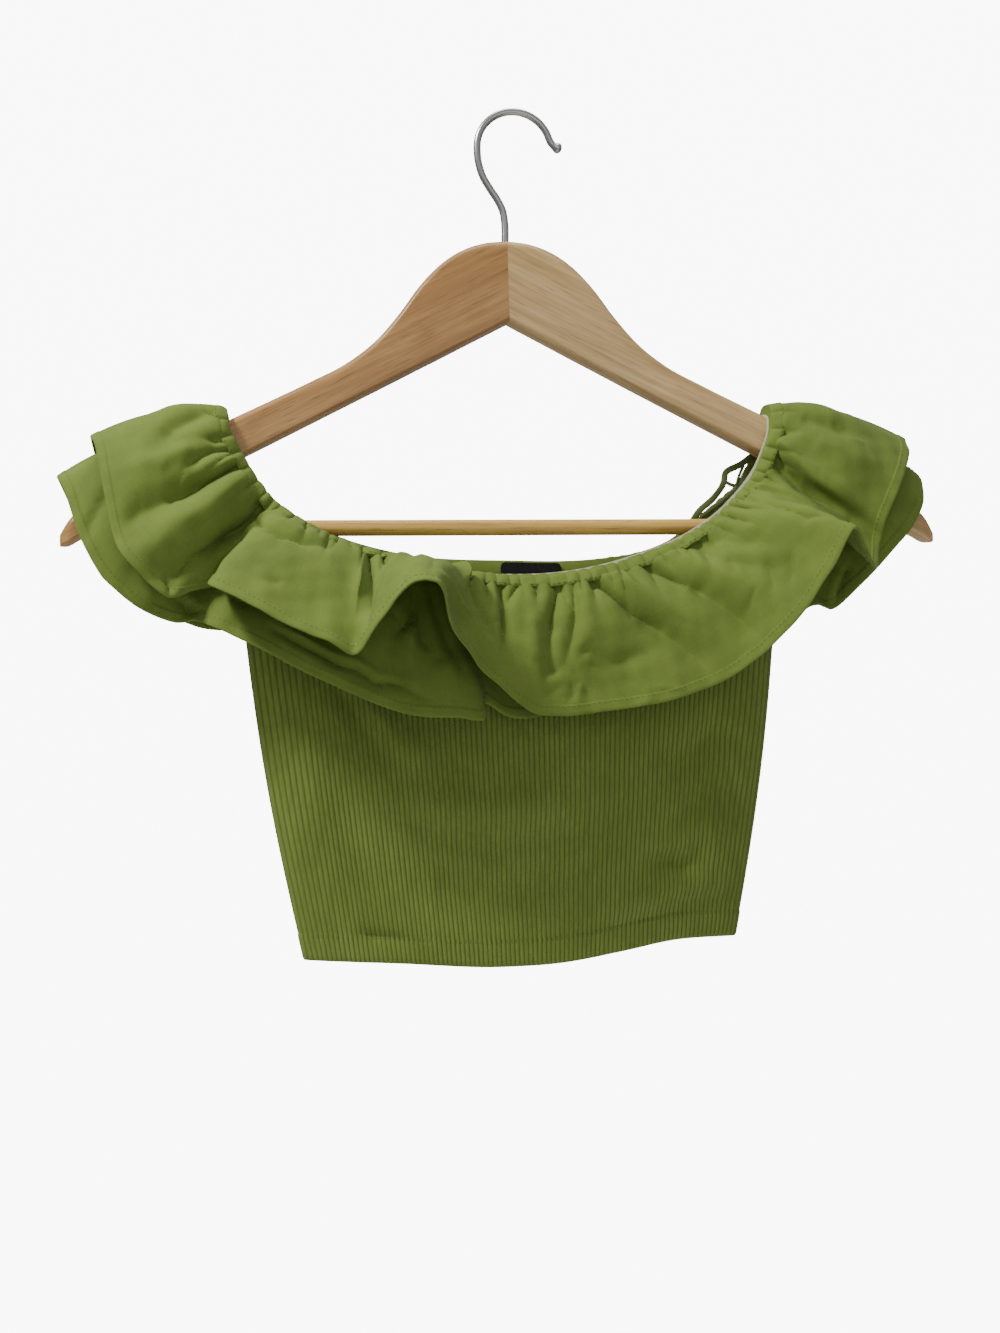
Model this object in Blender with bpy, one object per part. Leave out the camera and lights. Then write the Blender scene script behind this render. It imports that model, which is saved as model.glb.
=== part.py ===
"""Off-shoulder top with a two-tier ruffle, hanging on a wooden hanger.

Tables and sizes are in millimetres and objects are made in metres, +Z up and -Y to the front.
The origin is the inner top of the hook's bend, the point that a rail touches.
Tables measure x from the hanger's centre plane, which lies CENTRE_X from the hook's bend.
"""

import bmesh
import bpy
import numpy as np

MM = 0.001
CENTRE_X = -6.0
SHARP_ANGLE = np.radians(50)

# Walls and gaps of the cloth
SEAM_GAP = 0.4
LAYER_GAP = 0.3
RUFFLE_WALL = 1.0
BODY_WALL = 1.5
ELASTIC_WALL = 0.9
CASING_WALL = 1.0
TAPE_WALL = 1.0
LABEL_WALL = 0.8

# Neckline band: it turns from lying on the arm to facing front or back over SEAM_TURN
SEAM_TURN = 0.045
NECK_STEP = 0.004
LOOP_OVERLAP = 3
STEEP_SHARE = 0.08
NECK_SAMPLES = 600
DOWN_STEP = 0.02
ELASTIC_WIDTH = 5.5
ELASTIC_STANDS = 1.0
ELASTIC_STATIONS = 44
ELASTIC_CROWDING = 0.8
CASING_SHARE = 0.09
CASING_GATHER = 0.5

# Ruffle tiers: how the sheet leaves the seam, and its grid
NECK_HANDLE = 0.38
HEM_HANDLE = 0.3
HEM_DROOP = 0.35
UPPER_COLUMNS = 96
UPPER_CROWDING = 0.4
UPPER_DOWNS = (0.0, CASING_SHARE, 0.24, 0.46, 0.73, 1.0)
UPPER_GATHERS = (0.0, 0.0, 0.9, 0.6, 0.25, 0.0)
LOWER_COLUMNS = 60
LOWER_CROWDING = 0.5
LOWER_DOWNS = (0.0, 0.1, 0.3, 0.53, 0.77, 1.0)

# Ribbed body
RIBS = 96
RIB_HEIGHT = 0.5
BODY_DOWNS = (0.0, 0.13, 0.45, 0.78, 1.0)
INNER_COLUMNS = 32
HEM_LEFT = -108.5
HEM_RIGHT = 106.5
HEM_DEPTH = 15.0
HEM_SQUARENESS = 3
SIDE_LEFT = -135.5
SIDE_RIGHT = 134.0
SIDE_TOP = -254.0
SIDE_BULGE = 3.0
ARMHOLE_LEFT = -112.0
ARMHOLE_RIGHT = 106.0
ARMHOLE_SCOOP = 1.5

# Neck label and hanging tape
LABEL_LEFT = -5.0
LABEL_RIGHT = 26.0
LABEL_HEIGHT = 13.0
LABEL_COLUMNS = 6
TAPE_WIDTH = 4.5

# Hanger and hook
LEFT_REACH = 222.5
RIGHT_REACH = 217.5
TABLE_REACH = 220.0
HALF_GAP = 0.15
ARM_SWEEP = 8.0
ARM_SIDES = 12
ARM_ROUNDING = 0.7
UNDERSIDE_TOP = -108.5
UNDERSIDE_SLOPE = 0.525
BAR_RADIUS = 4.0
BAR_Y = -6.5
BAR_Z = -214.5
BAR_SIDES = 16
HOOK_BEND = 19.1
HOOK_WIRE = 1.9
HOOK_SIDES = 8
HOOK_ARC_STEPS = 22
HOOK_ARC_END = np.radians(16)

# Neckline seam, front half from the left shoulder to the right one: x, y, z
NECK_FRONT = (
    (-142.0, -3.0, -158.3),
    (-142.5, -9.0, -160.4),
    (-141.5, -12.8, -167.0),
    (-137.0, -13.2, -177.0),
    (-130.0, -13.5, -190.0),
    (-119.0, -14.0, -204.0),
    (-103.0, -14.5, -215.6),
    (-79.0, -15.0, -226.0),
    (-45.0, -16.0, -235.4),
    (0.0, -16.5, -241.3),
    (30.0, -16.5, -239.0),
    (60.0, -15.8, -231.5),
    (87.0, -15.0, -220.4),
    (108.0, -14.2, -205.5),
    (121.0, -13.6, -190.0),
    (128.0, -13.2, -176.0),
    (131.5, -12.8, -166.0),
    (132.5, -9.0, -157.0),
    (132.0, -3.0, -154.9),
)

# Neckline seam, back half from the left shoulder to the right one: x, y, z
NECK_BACK = (
    (-142.0, -3.0, -158.3),
    (-142.5, 3.0, -160.4),
    (-141.0, 6.5, -168.0),
    (-133.0, 8.0, -183.0),
    (-118.0, 10.0, -200.0),
    (-95.0, 12.0, -214.0),
    (-60.0, 14.0, -225.0),
    (0.0, 15.0, -229.5),
    (45.0, 14.2, -229.0),
    (70.0, 13.4, -225.0),
    (90.0, 12.6, -216.0),
    (108.0, 11.6, -201.0),
    (121.0, 10.2, -189.5),
    (128.0, 8.5, -177.0),
    (131.5, 6.5, -166.0),
    (132.5, 3.0, -157.0),
    (132.0, -3.0, -154.9),
)

# Hem of the upper tier in front: share of the seam, then x, y, z, and the bow in degrees
UPPER_FRONT = (
    (0.000, -208, -5, -169, 20),
    (0.036, -204, -20, -181, 20),
    (0.053, -200, -30, -203, 20),
    (0.072, -195, -38, -226, 20),
    (0.097, -184, -42, -241, 18),
    (0.121, -170, -40, -252, 15),
    (0.143, -160, -31, -248, 10),
    (0.160, -147, -27, -245, 8),
    (0.177, -153, -50, -247, 15),
    (0.197, -138, -58, -256, 18),
    (0.228, -118, -62, -267, 20),
    (0.262, -100, -64, -275, 20),
    (0.298, -85, -62, -282, 18),
    (0.318, -77, -70, -272, 16),
    (0.340, -68, -78, -258, 15),
    (0.382, -53, -84, -251, 14),
    (0.407, -46, -80, -257, 14),
    (0.424, -39, -66, -274, 14),
    (0.440, -31, -56, -283, 14),
    (0.460, -19, -48, -295, 16),
    (0.486, -4, -42, -307, 18),
    (0.528, 14, -38, -311, 18),
    (0.577, 36, -36, -309, 18),
    (0.664, 78, -38, -302, 18),
    (0.710, 102, -44, -291, 18),
    (0.750, 118, -52, -278, 18),
    (0.785, 131, -60, -264, 16),
    (0.812, 143, -68, -244, 14),
    (0.836, 153, -74, -226, 14),
    (0.856, 162, -64, -233, 10),
    (0.876, 173, -46, -242, 10),
    (0.898, 180, -34, -228, 12),
    (0.923, 183, -36, -216, 16),
    (0.945, 194, -30, -197, 18),
    (0.965, 203, -18, -182, 20),
    (1.000, 207, -5, -169, 20),
)

# Hem of the upper tier behind, same columns
UPPER_BACK = (
    (0.000, -208, -5, -169, 20),
    (0.040, -205, 10, -182, 20),
    (0.080, -196, 26, -214, 20),
    (0.120, -180, 32, -240, 18),
    (0.155, -163, 26, -251, 14),
    (0.185, -150, 24, -250, 10),
    (0.215, -146, 44, -256, 14),
    (0.265, -126, 54, -268, 18),
    (0.325, -98, 56, -281, 18),
    (0.365, -76, 64, -276, 16),
    (0.400, -63, 74, -260, 14),
    (0.430, -51, 68, -268, 14),
    (0.460, -37, 48, -288, 16),
    (0.510, -8, 38, -302, 18),
    (0.570, 26, 38, -303, 18),
    (0.620, 50, 48, -294, 18),
    (0.655, 65, 64, -272, 15),
    (0.685, 78, 66, -270, 15),
    (0.715, 92, 50, -284, 16),
    (0.770, 116, 44, -277, 18),
    (0.810, 136, 48, -262, 18),
    (0.850, 152, 42, -250, 16),
    (0.885, 166, 28, -244, 14),
    (0.920, 184, 24, -226, 16),
    (0.960, 202, 10, -188, 20),
    (1.000, 207, -5, -169, 20),
)

# Hem of the lower tier in front, same columns
LOWER_FRONT = (
    (0.000, -224, -5, -189, 8),
    (0.036, -219, -18, -200, 8),
    (0.053, -213, -25, -219, 8),
    (0.072, -205, -29, -236, 8),
    (0.097, -197, -30, -246, 8),
    (0.121, -183, -28, -257, 6),
    (0.140, -169, -21, -262, 4),
    (0.162, -160, -24, -261, 4),
    (0.185, -153, -33, -264, 6),
    (0.228, -136, -39, -273, 8),
    (0.262, -109, -43, -288, 8),
    (0.305, -78, -46, -303, 8),
    (0.357, -51, -48, -311, 8),
    (0.382, -37, -46, -311, 8),
    (0.407, -23, -42, -312, 6),
    (0.426, -21, -32, -304, 5),
    (0.451, -11, -28, -310, 6),
    (0.528, 21, -28, -307, 7),
    (0.621, 61, -28, -303, 7),
    (0.664, 81, -30, -298, 7),
    (0.710, 103, -34, -287, 7),
    (0.750, 120, -38, -276, 7),
    (0.785, 138, -40, -261, 6),
    (0.812, 147, -35, -258, 5),
    (0.836, 158, -26, -259, 4),
    (0.856, 173, -23, -247, 4),
    (0.898, 191, -28, -228, 6),
    (0.923, 200, -28, -218, 8),
    (0.945, 208, -22, -206, 8),
    (0.965, 212, -12, -193, 8),
    (1.000, 209, -5, -185, 8),
)

# Hem of the lower tier behind, same columns
LOWER_BACK = (
    (0.000, -224, -5, -189, 8),
    (0.040, -219, 8, -200, 8),
    (0.080, -210, 18, -221, 8),
    (0.120, -194, 22, -240, 8),
    (0.160, -176, 18, -252, 6),
    (0.200, -158, 20, -260, 5),
    (0.260, -134, 30, -262, 8),
    (0.330, -104, 34, -278, 8),
    (0.400, -66, 38, -294, 8),
    (0.460, -36, 31, -303, 8),
    (0.520, -2, 26, -306, 8),
    (0.600, 40, 28, -304, 8),
    (0.670, 72, 36, -298, 8),
    (0.740, 104, 31, -288, 8),
    (0.800, 134, 30, -272, 8),
    (0.860, 160, 22, -252, 6),
    (0.910, 184, 19, -240, 6),
    (0.950, 204, 12, -214, 8),
    (1.000, 209, -5, -185, 8),
)

# Hem edge of the body: x, z
BODY_HEM = (
    (-108.5, -425.0),
    (-64.0, -427.8),
    (-16.0, -431.3),
    (18.0, -430.2),
    (43.0, -426.5),
    (74.0, -421.5),
    (106.5, -421.0),
)

# Hanging tape behind the right neckline: x, z
TAPE_PATH = (
    (127.0, -181.0),
    (120.0, -182.5),
    (114.0, -186.0),
    (112.0, -190.5),
    (106.5, -196.0),
    (98.5, -204.0),
    (94.0, -211.0),
)

# One arm of the hanger: x, top, underside, thickness
ARM = (
    (0.0, -67.0, -108.5, 14.0),
    (12.0, -68.5, -114.8, 14.0),
    (24.0, -73.0, -121.1, 14.0),
    (34.0, -80.0, -126.4, 14.0),
    (44.0, -90.5, -131.6, 14.0),
    (55.0, -105.5, -137.4, 14.0),
    (66.0, -118.5, -143.2, 14.0),
    (80.0, -130.0, -150.5, 14.0),
    (100.0, -141.0, -161.0, 14.0),
    (120.0, -151.0, -171.5, 14.0),
    (145.0, -163.5, -184.6, 14.0),
    (175.0, -180.5, -200.4, 14.0),
    (200.0, -197.0, -213.5, 14.0),
    (211.0, -205.5, -219.4, 13.5),
    (217.0, -212.5, -222.8, 11.0),
    (220.0, -217.5, -223.2, 5.5),
)

# Hook's stem below its bend: x, z
HOOK_STEM = (
    (0.0, -66.6),
    (0.0, -56.0),
    (-0.8, -50.5),
    (-3.2, -45.0),
    (-7.0, -39.0),
    (-10.6, -32.5),
    (-12.6, -25.5),
)

# Hook's turned-out tip with its ball: x, z, radius
HOOK_TIP = (
    (25.2, -13.8, 1.9),
    (26.4, -15.2, 1.9),
    (27.5, -16.0, 2.3),
    (28.7, -16.6, 2.8),
    (29.9, -17.1, 2.3),
    (30.7, -17.4, 1.1),
)


def principled(name, colour, roughness, metallic=0.0):
    """Make a plain material for one sub-part."""
    made = bpy.data.materials.new(name)
    made.use_nodes = True
    shader = made.node_tree.nodes["Principled BSDF"]
    shader.inputs["Base Color"].default_value = (*colour, 1.0)
    shader.inputs["Roughness"].default_value = roughness
    shader.inputs["Metallic"].default_value = metallic
    return made


def mesh_object(name, points, faces, material):
    """Make a closed mesh object from points given in millimetres."""
    mesh = bpy.data.meshes.new(name)
    placed = (np.asarray(points, float) + (CENTRE_X, 0.0, 0.0)) * MM
    mesh.from_pydata([tuple(p) for p in placed.tolist()], [], faces)
    work = bmesh.new()
    work.from_mesh(mesh)
    bmesh.ops.recalc_face_normals(work, faces=work.faces)
    work.to_mesh(mesh)
    work.free()
    mesh.shade_smooth()
    mesh.set_sharp_from_angle(angle=SHARP_ANGLE)
    mesh.materials.append(material)
    made = bpy.data.objects.new(name, mesh)
    bpy.context.scene.collection.objects.link(made)
    return made


def spread(columns, crowding):
    """Shares along a seam, crowded towards both shoulders."""
    even = np.linspace(0.0, 1.0, columns + 1)
    return even + crowding * ((1 - np.cos(np.pi * even)) / 2 - even)


def unit(vectors):
    """Scale each vector to length one."""
    lengths = np.linalg.norm(vectors, axis=-1, keepdims=True)
    return vectors / np.maximum(lengths, 1e-9)


def cubic(knots, values, places):
    """Read a smooth curve that passes through each row of values at its knot."""
    knots = np.asarray(knots, float)
    values = np.asarray(values, float)
    steps = np.diff(knots)[:, None]
    chords = np.diff(values, axis=0) / steps
    slopes = np.empty_like(values)
    slopes[0] = chords[0]
    slopes[-1] = chords[-1]
    slopes[1:-1] = (chords[:-1] * steps[1:] + chords[1:] * steps[:-1]) / (steps[1:] + steps[:-1])
    places = np.clip(np.asarray(places, float), knots[0], knots[-1])
    span = np.clip(np.searchsorted(knots, places, side="right") - 1, 0, len(knots) - 2)
    width = steps[span]
    t = ((places - knots[span]) / width[:, 0])[:, None]
    start = (1 + 2 * t) * (1 - t) ** 2 * values[span] + t * (1 - t) ** 2 * width * slopes[span]
    end = t * t * (3 - 2 * t) * values[span + 1] + t * t * (t - 1) * width * slopes[span + 1]
    return start + end


def seam_loop(front, back):
    """The closed neckline seam: its rows once round, with a few repeated past each end."""
    rows = np.array(front + back[-2:0:-1])
    count = len(rows)
    rows = np.concatenate([rows[-LOOP_OVERLAP:], rows, rows[:LOOP_OVERLAP + 1]])
    knots = np.concatenate(([0.0], np.cumsum(np.linalg.norm(np.diff(rows, axis=0), axis=1))))
    knots = knots - knots[LOOP_OVERLAP]
    left = knots[LOOP_OVERLAP]
    right = knots[LOOP_OVERLAP + len(front) - 1]
    return rows, knots, right - left, knots[LOOP_OVERLAP + count] - right


def neck_points(facing, shares):
    """Points on the front or back seam at shares of its length, from the left shoulder."""
    rows, knots, front_length, back_length = seam_loop(NECK_FRONT, NECK_BACK)
    places = shares * front_length if facing < 0 else -shares * back_length
    whole = front_length + back_length
    places = np.where(places < knots[1], places + whole, places)
    return cubic(knots, rows, places)


def neck_frame(facing, shares):
    """Seam points, their outward normals and the way down from the seam, square to it."""
    points = neck_points(facing, shares)
    tangent = unit(neck_points(facing, shares + NECK_STEP) - neck_points(facing, shares - NECK_STEP))
    tangent[shares <= 0.0] = (0.0, facing, 0.0)
    tangent[shares >= 1.0] = (0.0, -facing, 0.0)
    turn = np.clip(np.minimum(shares, 1.0 - shares) / SEAM_TURN, 0.0, 1.0) * np.pi / 2
    out = np.stack([np.zeros_like(turn), facing * np.sin(turn), np.cos(turn)], axis=1)
    out = unit(out - tangent * np.sum(out * tangent, axis=1, keepdims=True))
    down = unit(np.cross(tangent, out)) * -facing
    return points, out, down


def neck_at_x(facing, x):
    """Seam points at given x, between the two steep stretches by the shoulders."""
    samples = neck_points(facing, np.linspace(STEEP_SHARE, 1 - STEEP_SHARE, NECK_SAMPLES))
    return np.stack([np.interp(x, samples[:, 0], samples[:, k]) for k in range(3)], axis=1)


class Sheet:
    """Half of a tube of cloth, front or back, from an upper edge down to a hem."""

    facing = -1

    def points(self, shares, downs):
        """Points of the middle of the cloth, one row for each value of downs."""
        raise NotImplementedError

    def normals(self, shares, downs):
        """Outward normals of the sheet, square to Y where the two halves meet."""
        ahead = np.minimum(shares + NECK_STEP, 1.0)
        behind = np.maximum(shares - NECK_STEP, 0.0)
        along = self.points(ahead, downs) - self.points(behind, downs)
        lower = np.minimum(np.array(downs) + DOWN_STEP, 1.0)
        upper = np.maximum(np.array(downs) - DOWN_STEP, 0.0)
        fall = self.points(shares, lower) - self.points(shares, upper)
        normal = unit(np.cross(fall, along)) * -self.facing
        normal[:, 0] = normal[:, 1]
        normal[:, -1] = normal[:, -2]
        normal[:, (0, -1), 1] = 0.0
        return unit(normal)


class Tier(Sheet):
    """One half of a ruffle tier, from the neckline seam to a hem that folds in space."""

    def __init__(self, facing, hem, offset):
        self.facing = facing
        self.hem = np.array(hem, float)
        self.offset = offset

    def points(self, shares, downs):
        seam, out, down = neck_frame(self.facing, shares)
        root = seam + out * self.offset
        rows = cubic(self.hem[:, 0], self.hem[:, 1:], shares)
        hem = rows[:, :3]
        chord = hem - root
        reach = np.linalg.norm(chord, axis=1, keepdims=True)
        lean = np.arctan2(np.sum(chord * out, axis=1), np.sum(chord * down, axis=1))
        lean = (lean + np.radians(rows[:, 3]))[:, None]
        leaving = down * np.cos(lean) + out * np.sin(lean)
        falling = unit(chord / reach + (0.0, 0.0, -HEM_DROOP))
        first = root + leaving * reach * NECK_HANDLE
        last = hem - falling * reach * HEM_HANDLE
        v = np.array(downs)[:, None, None]
        grid = root * (1 - v) ** 3 + first * 3 * v * (1 - v) ** 2 + last * 3 * v * v * (1 - v) + hem * v ** 3
        return grid + (0.0, self.facing * SEAM_GAP / 2, 0.0)


class BodyPanel(Sheet):
    """Front or back of the ribbed body, from the neckline and armholes to the hem."""

    def __init__(self, facing):
        self.facing = facing

    def top_edge(self, shares):
        """The neckline between the armholes, then each armhole's curve to the side seam."""
        x = SIDE_LEFT + (SIDE_RIGHT - SIDE_LEFT) * shares
        edge = neck_at_x(self.facing, np.clip(x, ARMHOLE_LEFT, ARMHOLE_RIGHT))
        left = np.clip((x - SIDE_LEFT) / (ARMHOLE_LEFT - SIDE_LEFT), 0.0, 1.0)
        right = np.clip((SIDE_RIGHT - x) / (SIDE_RIGHT - ARMHOLE_RIGHT), 0.0, 1.0)
        climb = np.minimum(left, right)
        edge[:, 0] = x
        edge[:, 1] *= np.sqrt(1 - (1 - climb) ** 2)
        edge[:, 2] = SIDE_TOP + (edge[:, 2] - SIDE_TOP) * climb ** ARMHOLE_SCOOP
        return edge

    def points(self, shares, downs):
        top = self.top_edge(shares)
        across = 2 * shares - 1
        hem_table = np.array(BODY_HEM)
        hem_x = HEM_LEFT + (HEM_RIGHT - HEM_LEFT) * shares
        hem_z = cubic(hem_table[:, 0], hem_table[:, 1:], hem_x)[:, 0]
        hem_y = self.facing * HEM_DEPTH * np.sqrt(1 - np.abs(across) ** HEM_SQUARENESS)
        hem = np.stack([hem_x, hem_y, hem_z], axis=1)
        v = np.array(downs)[:, None, None]
        grid = top * (1 - v) + hem * v
        grid[:, :, 0] += SIDE_BULGE * np.sin(np.pi * v[:, :, 0]) * across
        grid[:, :, 1] += self.facing * SEAM_GAP / 2
        return grid


def split(points, a, b, c, d):
    """Two triangles of a quad, cut along its shorter diagonal."""
    if np.linalg.norm(points[a] - points[c]) <= np.linalg.norm(points[b] - points[d]):
        return [(a, b, c), (a, c, d)]
    return [(a, b, d), (b, c, d)]


def grid_faces(points, rows, columns, start=0):
    """Triangles of a grid of points stored row by row."""
    faces = []
    for r in range(rows - 1):
        for c in range(columns - 1):
            a = start + r * columns + c
            faces += split(points, a, a + 1, a + columns + 1, a + columns)
    return faces


def edge_fan(many, few):
    """Triangles between an edge of many points and one with a whole fraction of its spans."""
    ratio = (len(many) - 1) // (len(few) - 1)
    half = ratio // 2
    faces = []
    for j in range(len(few) - 1):
        for i in range(ratio):
            k = j * ratio + i
            faces.append((many[k], many[k + 1], few[j] if i < half else few[j + 1]))
        faces.append((few[j], many[j * ratio + half], few[j + 1]))
    return faces


def wall_solid(name, outer, inner, material):
    """Close the space between an outer grid and an inner grid, which may have fewer columns."""
    rows, many, _ = outer.shape
    few = inner.shape[1]
    base = rows * many
    points = np.concatenate([outer.reshape(-1, 3), inner.reshape(-1, 3)])
    faces = grid_faces(points, rows, many) + grid_faces(points, rows, few, base)
    for row in (0, rows - 1):
        outer_edge = [row * many + c for c in range(many)]
        inner_edge = [base + row * few + c for c in range(few)]
        if many == few:
            for c in range(many - 1):
                faces.append((outer_edge[c], outer_edge[c + 1], inner_edge[c + 1], inner_edge[c]))
        else:
            faces += edge_fan(outer_edge, inner_edge)
    for r in range(rows - 1):
        for outer_column, inner_column in ((0, 0), (many - 1, few - 1)):
            a = r * many + outer_column
            b = base + r * few + inner_column
            faces.append((a, a + many, b + few, b))
    return mesh_object(name, points, faces, material)


def tube_solid(name, stations, material, closed):
    """Join equal cross-sections into a loop, or into a rod with capped ends."""
    stations = np.asarray(stations)
    count, sides, _ = stations.shape
    points = stations.reshape(-1, 3)
    faces = []
    for i in range(count if closed else count - 1):
        j = (i + 1) % count
        for k in range(sides):
            m = (k + 1) % sides
            faces += split(points, i * sides + k, j * sides + k, j * sides + m, i * sides + m)
    if not closed:
        faces.append(tuple(range(sides)))
        faces.append(tuple(range((count - 1) * sides, count * sides)))
    return mesh_object(name, points, faces, material)


def ruffle(name, tier, columns, crowding, downs, gathers, material):
    """A ruffle half whose alternate columns stand in and out by the gathers of each row."""
    shares = spread(columns, crowding)
    normal = tier.normals(shares, downs)
    wave = np.where(np.arange(columns + 1) % 2, 1.0, -1.0)
    wave[[0, -1]] = 0.0
    depth = (np.array(gathers)[:, None] * wave)[:, :, None]
    middle = tier.points(shares, downs) + normal * depth
    return wall_solid(name, middle + normal * RUFFLE_WALL / 2, middle - normal * RUFFLE_WALL / 2, material)


def body(name, panel, material):
    """A body half: ribs raised in the outer points over a plain inside."""
    outer_shares = np.linspace(0.0, 1.0, 2 * RIBS + 1)
    ribs = np.arange(2 * RIBS + 1) % 2 * RIB_HEIGHT
    rows = np.minimum(np.arange(len(BODY_DOWNS)), 1)
    height = (BODY_WALL / 2 + rows[:, None] * ribs)[:, :, None]
    outer = panel.points(outer_shares, BODY_DOWNS) + panel.normals(outer_shares, BODY_DOWNS) * height
    inner_shares = np.linspace(0.0, 1.0, INNER_COLUMNS + 1)
    normal = panel.normals(inner_shares, BODY_DOWNS)
    inner = panel.points(inner_shares, BODY_DOWNS) - normal * BODY_WALL / 2
    return wall_solid(name, outer, inner, material)


def casing(name, halves, material):
    """The gathered band over the top of the upper tier, all the way round."""
    shares = spread(UPPER_COLUMNS, UPPER_CROWDING)
    downs = (0.0, CASING_SHARE)
    under = RUFFLE_WALL / 2 + LAYER_GAP
    over = under + CASING_WALL + CASING_GATHER * (np.arange(UPPER_COLUMNS + 1) % 2)[:, None]
    stations = []
    for tier in halves:
        top, low = tier.points(shares, downs)
        top_normal, low_normal = tier.normals(shares, downs)
        corners = [top + top_normal * under, low + low_normal * under,
                   low + low_normal * over, top + top_normal * over]
        half = np.stack(corners, axis=1)
        stations.append(half if tier.facing < 0 else half[::-1])
    return tube_solid(name, np.concatenate(stations), material, closed=True)


def elastic(name, offset, material):
    """The flat elastic inside the neckline, standing a little above its edge."""
    shares = spread(ELASTIC_STATIONS, ELASTIC_CROWDING)
    stations = []
    for facing in (-1, 1):
        seam, out, down = neck_frame(facing, shares)
        seam = seam + (0.0, facing * SEAM_GAP / 2, 0.0)
        corners = []
        for fall, side in ((0, -1), (1, -1), (1, 1), (0, 1)):
            width = fall * ELASTIC_WIDTH - ELASTIC_STANDS
            corners.append(seam + down * width + out * (offset + side * ELASTIC_WALL / 2))
        half = np.stack(corners, axis=1)
        stations.append(half if facing < 0 else half[::-1])
    return tube_solid(name, np.concatenate(stations), material, closed=True)


def label(name, offset, material):
    """The label inside the back of the neck, over the elastic."""
    x = np.linspace(LABEL_LEFT, LABEL_RIGHT, LABEL_COLUMNS)
    seam = neck_at_x(1, x)
    grids = []
    for side in (-1, 1):
        face = seam + (0.0, offset + side * LABEL_WALL / 2, 0.0)
        grids.append(np.stack([face, face - (0.0, 0.0, LABEL_HEIGHT)]))
    return wall_solid(name, grids[0], grids[1], material)


def tape(name, offset, material):
    """The hanging tape that crosses above the back neckline near the right shoulder."""
    path = np.array(TAPE_PATH)
    y = neck_at_x(1, path[:, 0])[:, 1] + offset
    run = unit(np.gradient(path, axis=0))
    across = np.stack([-run[:, 1], run[:, 0]], axis=1) * TAPE_WIDTH / 2
    corners = []
    for side, depth in ((-1, -1), (1, -1), (1, 1), (-1, 1)):
        edge = path + side * across
        corners.append(np.stack([edge[:, 0], y + depth * TAPE_WALL / 2, edge[:, 1]], axis=1))
    return tube_solid(name, np.stack(corners, axis=1), material, closed=False)


def arm(name, side, reach, material):
    """Half of the hanger: rounded sections that lean forward to the arm's tip."""
    turns = np.linspace(0.0, 2 * np.pi, ARM_SIDES, endpoint=False)
    round_y = np.sign(np.cos(turns)) * np.abs(np.cos(turns)) ** ARM_ROUNDING
    round_z = np.sign(np.sin(turns)) * np.abs(np.sin(turns)) ** ARM_ROUNDING
    stations = []
    for x, top, underside, thickness in ARM:
        centre_y = -ARM_SWEEP * (x / TABLE_REACH) ** 2
        section_x = np.full(ARM_SIDES, side * max(x * reach / TABLE_REACH, HALF_GAP))
        section_y = centre_y + round_y * thickness / 2
        section_z = (top + underside) / 2 + round_z * (top - underside) / 2
        stations.append(np.stack([section_x, section_y, section_z], axis=1))
    return tube_solid(name, stations, material, closed=False)


def bar(name, material):
    """The round trouser bar, its ends cut to the slope of the arms' undersides."""
    turns = np.linspace(0.0, 2 * np.pi, BAR_SIDES, endpoint=False)
    y = BAR_Y + BAR_RADIUS * np.cos(turns)
    z = BAR_Z + BAR_RADIUS * np.sin(turns)
    drop = (UNDERSIDE_TOP - LAYER_GAP - z) / UNDERSIDE_SLOPE
    stations = []
    for side, reach in ((-1, LEFT_REACH), (1, RIGHT_REACH)):
        stations.append(np.stack([side * drop * reach / TABLE_REACH, y, z], axis=1))
    return tube_solid(name, stations, material, closed=False)


def hook(name, material):
    """The bent wire hook: stem, round bend and turned-out tip."""
    stem = [(x, z, HOOK_WIRE) for x, z in HOOK_STEM]
    bend = []
    for angle in np.linspace(np.pi, HOOK_ARC_END, HOOK_ARC_STEPS):
        x = -CENTRE_X + HOOK_BEND * np.cos(angle)
        z = HOOK_BEND * (np.sin(angle) - 1) + HOOK_WIRE
        bend.append((x, z, HOOK_WIRE))
    path = np.array(stem + bend + list(HOOK_TIP))
    run = unit(np.gradient(path[:, :2], axis=0))
    turns = np.linspace(0.0, 2 * np.pi, HOOK_SIDES, endpoint=False)
    stations = []
    for (x, z, radius), (run_x, run_z) in zip(path, run):
        side = radius * np.cos(turns)
        stations.append(np.stack([x - run_z * side, radius * np.sin(turns), z + run_x * side], axis=1))
    return tube_solid(name, stations, material, closed=False)


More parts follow.
